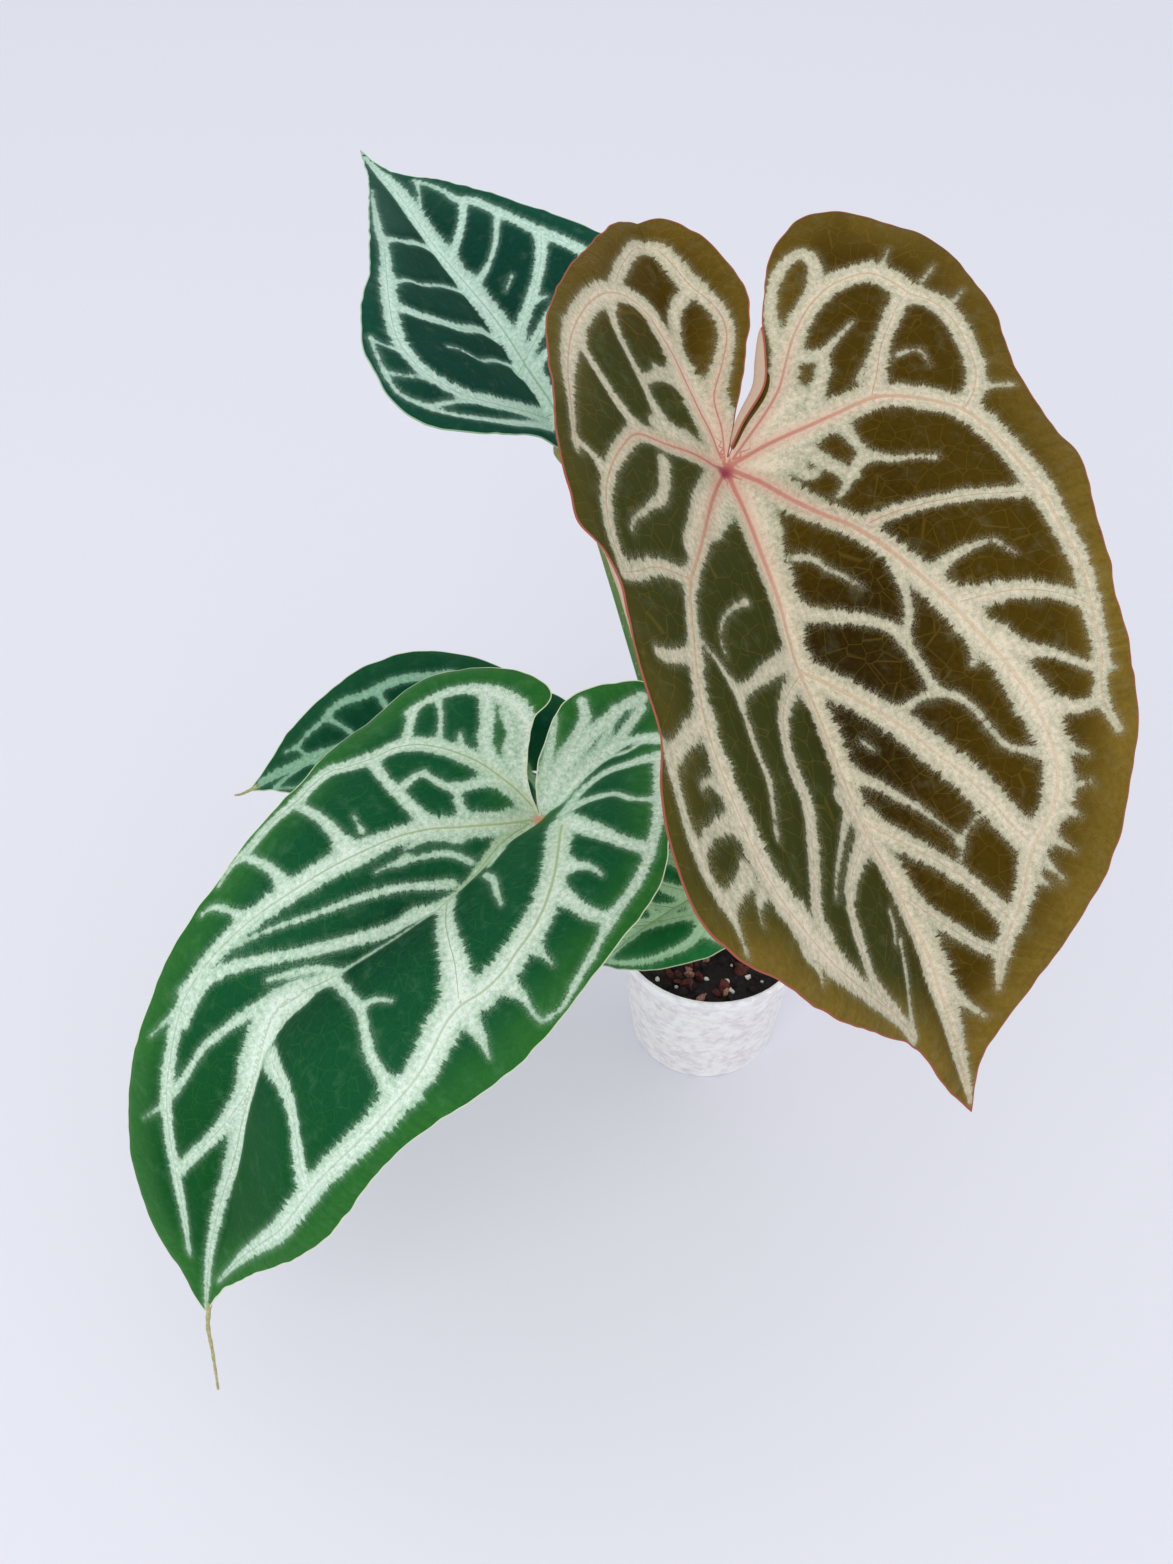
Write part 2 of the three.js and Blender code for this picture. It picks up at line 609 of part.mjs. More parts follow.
// One chip of bark or grain of perlite, half sunk at a drawn place clear of the stem and wall.
function pieceOfMix(geometry, size, draw) {
  const angle = 2 * Math.PI * draw();
  const distance = 19 + (innerRadius(MIX_LEVEL) - 5 - size - 19) * Math.sqrt(draw());
  const [x, y] = [Math.cos(angle) * distance, Math.sin(angle) * distance];
  geometry.rotateX(0.7 * (draw() - 0.5));
  geometry.rotateY(0.7 * (draw() - 0.5));
  geometry.rotateZ(2 * Math.PI * draw());
  geometry.translate(x, y, mixHeight(x, y) + 0.15 * size * (draw() - 0.3));
  return solidOf(geometry);
}

function mixGeometry() {
  const wallGap = GAP;
  const profile = [
    [0, FLOOR_TOP + wallGap],
    [innerRadius(FLOOR_TOP) - wallGap - 0.2, FLOOR_TOP + wallGap],
    [innerRadius(MIX_LEVEL - 2) - wallGap - 0.2, MIX_LEVEL - 2],
    [42, MIX_LEVEL],
    [35, MIX_LEVEL],
    [28, MIX_LEVEL],
    [20, MIX_LEVEL],
    [10, MIX_LEVEL],
    [0, MIX_LEVEL],
  ];
  const body = new THREE.LatheGeometry(profile.map(([r, z]) => new THREE.Vector2(r, z)), MIX_SIDES);
  body.rotateX(Math.PI / 2);
  const { position } = body.attributes;
  for (let i = 0; i < position.count; i += 1) {
    const [x, y] = [position.getX(i), position.getY(i)];
    if (position.getZ(i) > MIX_LEVEL - 1) position.setZ(i, mixHeight(x, y));
  }
  let solid = solidOf(body);
  const draw = drawsFrom(11);
  for (let i = 0; i < BARK_CHIPS; i += 1) {
    const size = 3.5 + 4 * draw();
    const chip = new THREE.BoxGeometry(size, size * (0.5 + 0.4 * draw()), size * 0.45);
    solid = solid.add(pieceOfMix(chip, size, draw));
  }
  for (let i = 0; i < PERLITE_GRAINS; i += 1) {
    const size = 1.3 + draw();
    solid = solid.add(pieceOfMix(new THREE.OctahedronGeometry(size), size, draw));
  }
  solid = solid.subtract(cylinder(STEM_RADIUS + 1 + GAP, STEM_FOOT - GAP, MIX_LEVEL + 20, 16));
  LEAVES.forEach(({ stalk }) => {
    const reach = STEM_RADIUS + stalk.radius + GAP;
    const angle = radians(stalk.azimuth);
    const hole = cylinder(stalk.radius + 2 * GAP, STALK_FOOT - GAP, MIX_LEVEL + 20, 12);
    solid = solid.subtract(hole.translate([Math.cos(angle) * reach, Math.sin(angle) * reach, 0]));
  });
  return geometryOf(solid);
}

// The short stem, ringed where older leaves have dropped.
function stemGeometry() {
  const profile = [[0, STEM_FOOT], [STEM_RADIUS - 1, STEM_FOOT]];
  const rings = 5;
  const rise = (STEM_TOP - 4 - STEM_FOOT) / rings;
  for (let i = 0; i < rings; i += 1) {
    const z = STEM_FOOT + i * rise;
    profile.push([STEM_RADIUS - 0.8, z + 0.35 * rise]);
    profile.push([STEM_RADIUS - 0.1, z + 0.8 * rise]);
  }
  profile.push([STEM_RADIUS - 1.6, STEM_TOP - 3], [STEM_RADIUS - 3.6, STEM_TOP], [0, STEM_TOP + 1]);
  return geometryOf(turned(profile, 16));
}

function piece(name, geometry, colour, roughness) {
  const material = new THREE.MeshStandardMaterial({ color: colour, roughness, metalness: 0 });
  const mesh = new THREE.Mesh(geometry, material);
  mesh.name = name;
  return mesh;
}

const plant = new THREE.Group();
plant.name = 'potted_anthurium';
plant.add(piece('pot', potGeometry(), '#d9d8de', 0.35));
plant.add(piece('potting_mix', mixGeometry(), '#2b1c18', 0.95));
plant.add(piece('stem', stemGeometry(), '#5d6a34', 0.6));
LEAVES.forEach((leaf) => {
  plant.add(piece(leaf.name, leafGeometry(leaf), leaf.colour, 0.45));
});

export default plant;
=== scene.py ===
# %% [markdown]
# # A potted anthurium hybrid
# A small frosted nursery pot holds five heart-shaped leaves on long stalks. The leaves are what a
# viewer looks at, so most of this lesson is about them: how a flat heart is bent, how its veins are
# laid on it, and how silver bands with feathered edges are painted along those veins.
#
# Lengths are in millimetres while a piece is worked out, and become metres when its mesh is made.

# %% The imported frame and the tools
import math

import bmesh
import bpy
import numpy as np
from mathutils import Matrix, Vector
from mathutils.geometry import delaunay_2d_cdt


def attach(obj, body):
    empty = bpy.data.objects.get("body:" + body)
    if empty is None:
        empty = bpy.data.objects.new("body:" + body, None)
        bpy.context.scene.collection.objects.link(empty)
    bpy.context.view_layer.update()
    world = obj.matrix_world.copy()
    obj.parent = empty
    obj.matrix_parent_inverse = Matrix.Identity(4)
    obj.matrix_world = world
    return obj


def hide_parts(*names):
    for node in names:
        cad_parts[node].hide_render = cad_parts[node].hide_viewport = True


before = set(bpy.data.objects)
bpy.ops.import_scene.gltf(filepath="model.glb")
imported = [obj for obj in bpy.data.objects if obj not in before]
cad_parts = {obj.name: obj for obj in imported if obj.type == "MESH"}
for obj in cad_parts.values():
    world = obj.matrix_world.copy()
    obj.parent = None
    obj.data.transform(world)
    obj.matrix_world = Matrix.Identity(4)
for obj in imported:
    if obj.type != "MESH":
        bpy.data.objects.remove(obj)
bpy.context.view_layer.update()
MM = 0.001
print("the frame holds", ", ".join(sorted(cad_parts)))

# %% [markdown]
# ## The camera
# The picture was taken from above, about 0.8 m away. The camera is a pinhole with the focal length
# that fits the ellipses of the pot's rim and base. The same numbers also turn a place in the picture
# into a place on a leaf, so the veins can be laid on the blades where they are seen.

# %% Camera at the picture's viewing angle
PICTURE = (1173, 1564)
FOCAL_PIXELS = 1400
EYE = np.array([-68.0, -498.0, 675.0])
TILT = math.radians(44)
SENSOR = 36.0
AHEAD = np.array([0, math.cos(TILT), -math.sin(TILT)])
ABOVE = np.array([0, math.sin(TILT), math.cos(TILT)])

camera_data = bpy.data.cameras.new("viewpoint")
camera_data.sensor_width = SENSOR
camera_data.lens = FOCAL_PIXELS / PICTURE[1] * SENSOR
camera_data.clip_start = 0.01
camera = bpy.data.objects.new("viewpoint", camera_data)
camera.location = EYE * MM
camera.rotation_euler = (math.pi / 2 - TILT, 0, 0)
bpy.context.scene.collection.objects.link(camera)
bpy.context.scene.camera = camera


def to_picture(points):
    """Picture coordinates of points, and their depths in front of the camera."""
    ray = points - EYE
    depth = ray @ AHEAD
    across = PICTURE[0] / 2 + FOCAL_PIXELS * ray[..., 0] / depth
    down = PICTURE[1] / 2 - FOCAL_PIXELS * (ray @ ABOVE) / depth
    return np.stack([across, down], -1), depth


print("camera", round(float(np.linalg.norm(EYE)), 1), "mm from the pot's foot")

# %% [markdown]
# ## Small tools for curves
# A blade's midrib, its outline and every vein are smooth curves through a few chosen points. One
# function draws such a curve, one spaces points evenly along it, and one finds for many places at
# once the nearest point of a curve. The last one carries all the vein work.

# %% Curves
def unit(vectors):
    return vectors / np.maximum(np.linalg.norm(vectors, axis=-1, keepdims=True), 1e-9)


def ease(x):
    x = np.clip(x, 0, 1)
    return x * x * (3 - 2 * x)


def curve_through(points, steps=40):
    """Smooth curve through the points, which slows down where they lie close together."""
    p = np.array(points, float)
    p = np.vstack([2 * p[0] - p[1], p, 2 * p[-1] - p[-2]])
    pieces = []
    for a, b, c, d in zip(p[:-3], p[1:-2], p[2:-1], p[3:]):
        knots = np.cumsum([0] + [max(np.linalg.norm(y - x), 1e-6) ** 0.5
                                 for x, y in ((a, b), (b, c), (c, d))])
        u = np.linspace(knots[1], knots[2], steps, endpoint=False)[:, None]

        def between(x, y, i, j):
            return ((knots[j] - u) * x + (u - knots[i]) * y) / (knots[j] - knots[i])

        first = between(between(a, b, 0, 1), between(b, c, 1, 2), 0, 2)
        last = between(between(b, c, 1, 2), between(c, d, 2, 3), 1, 3)
        pieces.append(between(first, last, 1, 2))
    return np.vstack(pieces + [p[-2][None]])


def spaced(points, step):
    """Points at even steps along a broken line."""
    gaps = np.linalg.norm(np.diff(points, axis=0), axis=1)
    places = np.r_[0, np.cumsum(gaps)]
    count = max(2, int(round(places[-1] / step)) + 1)
    wanted = np.linspace(0, places[-1], count)
    return np.stack([np.interp(wanted, places, points[:, k]) for k in range(points.shape[1])], -1)


def nearest_on(path, places):
    """Distance to the path, nearest point and share of its points passed, for each flat place."""
    start, step = path[:-1], np.diff(path, axis=0)
    square = np.maximum((step ** 2).sum(1), 1e-12)
    gap, foot, share = [], [], []
    for some in np.array_split(places, max(1, len(places) * len(step) // 1500000)):
        k = np.clip(((some[:, None] - start) * step).sum(-1) / square, 0, 1)
        near = start + k[..., None] * step
        distance = np.linalg.norm(some[:, None] - near, axis=-1)
        best = distance.argmin(1)
        row = np.arange(len(some))
        gap.append(distance[row, best])
        foot.append(near[row, best])
        share.append((best + k[row, best]) / len(step))
    return np.concatenate(gap), np.concatenate(foot), np.concatenate(share)


def places(text):
    """Number pairs written as "x,y x,y"."""
    return np.array([[float(n) for n in pair.split(",")] for pair in text.split()])

# %% [markdown]
# ## How a blade is bent
# A real blade starts as a flat heart and is then folded along its midrib, drooped at its tip and
# waved at its margin. The same is done here, with nearly the same values as the part's solids, so the
# finer blades lie on the solids. Flat places are (s, t): s runs from the stalk to the tip along the
# midrib and t runs across it. A fold table gives the slope across the midrib in degrees,
# with a row each for the lobes, the stalk, the middle and the tip, and a column each for the midrib,
# two places between and the margin.

# %% Bending values of the five leaves
LOBE_STATION = -0.35
YOUNG_FOLD = [[20, 10, 0, -15], [25, 12, -5, -20], [25, 12, -5, -20], [15, 5, 0, -10]]
DARK_FOLD = [[30, 22, 10, 0], [35, 28, 15, 5], [35, 28, 15, 5], [20, 10, 5, 0]]
LEAVES = {
    "bronze": {
        "half_width": 110,
        "spine": [[-17, -56, 406], [-2, -106, 384], [18, -154, 350], [41, -184, 311], [70, -219, 241]],
        "face": [[0.31, -0.58, 0.75], [0.31, -0.58, 0.75]],
        "fold_right": [[26, 24, 20, 10], [28, 27, 22, 12], [30, 28, 24, 14], [26, 24, 22, 20]],
        "fold_left": [[24, 24, 22, 18], [26, 28, 28, 26], [26, 28, 30, 32], [24, 24, 24, 24]],
        "crease": [[0, 0], [257, 0]],
        "roll": {"side": -1, "centre": 75, "reach": 32, "start": 0.73, "end": 0.84, "angle": 115},
        "ripple": [0.8, 7, 0.4],
        "sinus": [-6, 3],
        "outline_right": "-15,10 -26,21 -46,28 -64,34 -86,46 -95,61 -88,81 -73,98 -53,109 -22,111 4,109 "
                         "37,115 83,108 120,102 141,98 174,77 198,54 225,22 236,10 257,0",
        "outline_left": "-25,12 -46,22 -65,29 -81,28 -102,21 -117,7 -115,-9 -90,-37 -64,-59 -41,-73 "
                        "-11,-83 20,-90 36,-92 50,-92 66,-89 80,-86 94,-86 104,-91 112,-97 122,-101 132,-102 "
                        "141,-96 155,-80 173,-66 197,-40 216,-20 236,-12 257,0",
        "stalk": [-30, 2.8, [[12, -11, 130], [11, -21, 230], [0, -36, 330], [-13, -46, 385]]],
        "spacing": 1.45,
    },
    "green": {
        "half_width": 105,
        "spine": [[-88, -84, 255], [-120, -116, 248], [-152, -145, 239], [-180, -171, 218],
                  [-207, -194, 163], [-234, -219, 83]],
        "face": [[-0.28, -0.45, 0.84], [-0.37, -0.72, 0.587]],
        "fold_right": [[28, 10, -10, -25], [45, 20, -20, -32], [42, 10, -28, -34], [20, -5, -20, -25]],
        "fold_left": [[20, 10, -10, -25], [20, 10, -12, -28], [22, 5, -15, -28], [10, -5, -20, -25]],
        "crease": [[0, 0], [60, 2], [110, -6], [150, -12], [190, -6], [230, 0], [288, 0]],
        "ripple": [1.0, 6, 1.1],
        "sinus": [-2, -2],
        "outline_right": "-10,-13 -27,-24 -47,-32 -64,-27 -82,-13 -72,6 -34,47 -16,64 0,74 30,78 59,82 "
                         "91,82 139,67 199,50 245,20 268,6 288,0",
        "outline_left": "-6,-12 -14,-22 -30,-34 -45,-38 -45,-52 -37,-70 -17,-89 8,-92 42,-90 92,-76 "
                        "126,-69 159,-67 199,-65 230,-56 257,-38 273,-17 288,0",
        "stalk": [-150, 2.8, [[-17, -14, 110], [-38, -34, 160], [-64, -58, 212]]],
        "dried_tip": [[-234, -222, 77], [-233, -228, 66], [-231, -239, 51]],
        "spacing": 1.3,
    },
    "dark": {
        "half_width": 90,
        "spine": [[-79, 71, 343], [-104, 107, 363], [-144, 171, 389], [-188, 268, 401]],
        "face": [[0.1, 0, 1], [0.1, -0.2, 1]],
        "fold_right": DARK_FOLD,
        "fold_left": DARK_FOLD,
        "crease": [[0, 0], [235, 0]],
        "ripple": [1.4, 6, 2],
        "sinus": [-3, 0],
        "outline_right": "-4,12 -3,29 -4,51 -2,69 5,84 17,91 30,93 44,90 62,82 76,73 91,60 108,49 "
                         "145,28 191,10 235,0",
        "outline_left": "-14,-8 -24,-22 -24,-44 -10,-68 16,-84 50,-87 76,-78 105,-57 135,-40 171,-23 "
                        "194,-10 211,-4 235,0",
        "stalk": [100, 1.8, [[-14, 22, 130], [-38, 41, 215], [-63, 61, 300], [-71, 66, 324]]],
        "knee": 3.5,
        "spacing": 1.3,
    },
    "low": {
        "half_width": 60,
        "spine": [[-98, 4, 202], [-135, 11, 215], [-185, 11, 209], [-241, 13, 175]],
        "face": [[-0.1, -0.2, 1], [-0.2, -0.5, 0.9]],
        "fold_right": YOUNG_FOLD,
        "fold_left": YOUNG_FOLD,
        "crease": [[0, 0], [156, 0]],
        "ripple": [1.2, 5, 0],
        "sinus": [-4, 0],
        "outline_right": "-16,4 -30,11 -38,22 -34,36 -16,44 10,47 40,46 70,40 98,29 124,16 142,6 156,0",
        "outline_left": "-16,-4 -30,-10 -35,-20 -30,-32 -12,-40 14,-42 30,-43 48,-47 63,-44 81,-38 "
                        "98,-28 126,-15 142,-6 156,0",
        "stalk": [165, 2.1, [[-20, 5, 110], [-48, 6, 150], [-80, 5, 188]]],
        "dried_tip": [[-240, 13, 175.6], [-244, 12, 174], [-247, 10, 175]],
        "spacing": 1.2,
    },
    "small": {
        "half_width": 40,
        "spine": [[1, -74, 210], [-18, -85, 207], [-40, -91, 193], [-63, -91, 164]],
        "face": [[-0.1, -0.35, 1], [-0.3, -0.5, 0.9]],
        "fold_right": YOUNG_FOLD,
        "fold_left": YOUNG_FOLD,
        "crease": [[0, 0], [86, 0]],
        "ripple": [0.8, 4, 0],
        "sinus": [-3, 0],
        "outline_right": "-11,3 -19,7 -24,15 -18,24 -4,29 12,30 28,30 40,27 56,20 72,10 86,0",
        "outline_left": "-11,-3 -19,-7 -24,-14 -19,-23 -4,-28 14,-30 36,-28 56,-20 72,-9 86,0",
        "stalk": [-95, 1.9, [[0, -20, 110], [3, -42, 155], [4, -60, 190]]],
        "spacing": 0.9,
    },
}

# %% The bent surface of a blade
SECTION_STEPS = 14


class Blade:
    """The surface half way through a blade's thickness."""

    def __init__(self, leaf):
        self.leaf = leaf
        self.half_width = leaf["half_width"]
        self.spine = curve_through(leaf["spine"], 80)
        gaps = np.linalg.norm(np.diff(self.spine, axis=0), axis=1)
        self.passed = np.r_[0, np.cumsum(gaps)]
        self.length = self.passed[-1]
        self.direction = unit(np.gradient(self.spine, axis=0))
        self.face = unit(np.array(leaf["face"], float))
        self.folds = {side: np.radians(np.array(leaf[key], float))
                      for side, key in ((1, "fold_right"), (-1, "fold_left"))}
        self.crease = np.array(leaf["crease"], float)

    def along_spine(self, table, s):
        return np.stack([np.interp(s, self.passed, table[:, k]) for k in range(3)], -1)

    def slope(self, s, u, side):
        stations = np.array([LOBE_STATION, 0, 0.5, 1]) * self.length
        row = np.clip(np.interp(s, stations, np.arange(4)), 0, 2.9999)
        column = np.clip(u * 3, 0, 2.9999)
        i, j = row.astype(int), column.astype(int)
        table = self.folds[side]
        upper = table[i, j] + (table[i, j + 1] - table[i, j]) * (column - j)
        lower = table[i + 1, j] + (table[i + 1, j + 1] - table[i + 1, j]) * (column - j)
        angle = upper + (lower - upper) * ease(row - i)
        roll = self.leaf.get("roll")
        if roll and roll["side"] == side:
            near = ease(1 - ((s - roll["centre"]) / roll["reach"]) ** 2)
            outer = ease((u - roll["start"]) / (roll["end"] - roll["start"]))
            angle = angle + math.radians(roll["angle"]) * near * outer
        return angle

    def point(self, s, t):
        s, t = np.broadcast_arrays(np.asarray(s, float), np.asarray(t, float))
        on_spine = np.clip(s, 0, self.length)
        forward = unit(self.along_spine(self.direction, on_spine))
        lean = ease(on_spine / self.length)[..., None]
        up = self.face[0] + (self.face[1] - self.face[0]) * lean
        up = unit(up - (up * forward).sum(-1, keepdims=True) * forward)
        middle = self.along_spine(self.spine, on_spine) + forward * (s - on_spine)[..., None]
        valley = np.interp(s, self.crease[:, 0], self.crease[:, 1])
        side = np.where(t < valley, -1, 1)
        step = np.abs(t - valley) / SECTION_STEPS
        across, rise = valley.copy(), np.zeros_like(valley)
        for k in range(SECTION_STEPS):
            u = (k + 0.5) * step / self.half_width
            angle = np.where(side > 0, self.slope(s, u, 1), self.slope(s, u, -1))
            across = across + side * np.cos(angle) * step
            rise = rise + np.sin(angle) * step
        height, waves, phase = self.leaf["ripple"]
        wave = 2 * np.pi * waves * s / self.length + phase + np.where(side > 0, 0, 1.7)
        rise = rise + height * np.minimum(np.abs(t) / self.half_width, 1.2) ** 2 * np.sin(wave)
        rise = rise - 4 * np.exp(-(s * s + t * t) / 196)
        return middle + np.cross(up, forward) * across[..., None] + up * rise[..., None]

    def normal(self, s, t, step=0.4):
        ahead = self.point(s + step, t) - self.point(s - step, t)
        across = self.point(s, t + step) - self.point(s, t - step)
        return unit(np.cross(ahead, across))

    def flat_place(self, seen):
        """Flat places that the camera sees at these places of the picture."""
        s, t = np.meshgrid(np.linspace(-0.48, 1.03, 90) * self.length,
                           np.linspace(-1.25, 1.25, 90) * self.half_width, indexing="ij")
        spots = self.point(s, t)
        grid, depth = to_picture(spots)
        facing = np.cross(np.gradient(spots, axis=0), np.gradient(spots, axis=1))
        hidden = ((facing * (EYE - spots)).sum(-1) < 0).ravel()
        grid, cost = grid.reshape(-1, 2), 0.4 * depth.ravel() + 900 * hidden
        nearest = np.array([(((grid - one) ** 2).sum(-1) + cost).argmin() for one in seen])
        place = np.stack([s.ravel()[nearest], t.ravel()[nearest]], -1)
        step = 0.1
        for _ in range(14):
            here = to_picture(self.point(place[:, 0], place[:, 1]))[0]
            by_s = (to_picture(self.point(place[:, 0] + step, place[:, 1]))[0] - here) / step
            by_t = (to_picture(self.point(place[:, 0], place[:, 1] + step))[0] - here) / step
            miss = seen - here
            area = by_s[:, 0] * by_t[:, 1] - by_s[:, 1] * by_t[:, 0]
            area = np.where(np.abs(area) < 0.05, 0.05, area)
            move = np.stack([miss[:, 0] * by_t[:, 1] - miss[:, 1] * by_t[:, 0],
                             by_s[:, 0] * miss[:, 1] - by_s[:, 1] * miss[:, 0]], -1) / area[:, None]
            reach = np.linalg.norm(move, axis=1, keepdims=True)
            place = place + move * np.minimum(1, 6 / np.maximum(reach, 1e-6))
        return place


BLADES = {name: Blade(leaf) for name, leaf in LEAVES.items()}
for name, blade in BLADES.items():
    print(f"{name} blade: {blade.length:.0f} mm from stalk to tip")

# %% [markdown]
# ## The veins
# Each vein is a curve with a silver band that widens and narrows along it, and the large ones also
# have a rib. Where the picture shows a vein, its path is a named list of places in the picture, and
# it is laid on the bent blade along the line of sight. Band widths are half widths in millimetres,
# spread evenly along the path, and the last number is the rib's half width. Hidden halves get veins
# from a rule: a midrib, arched side veins, and a collecting vein that runs parallel to the margin.

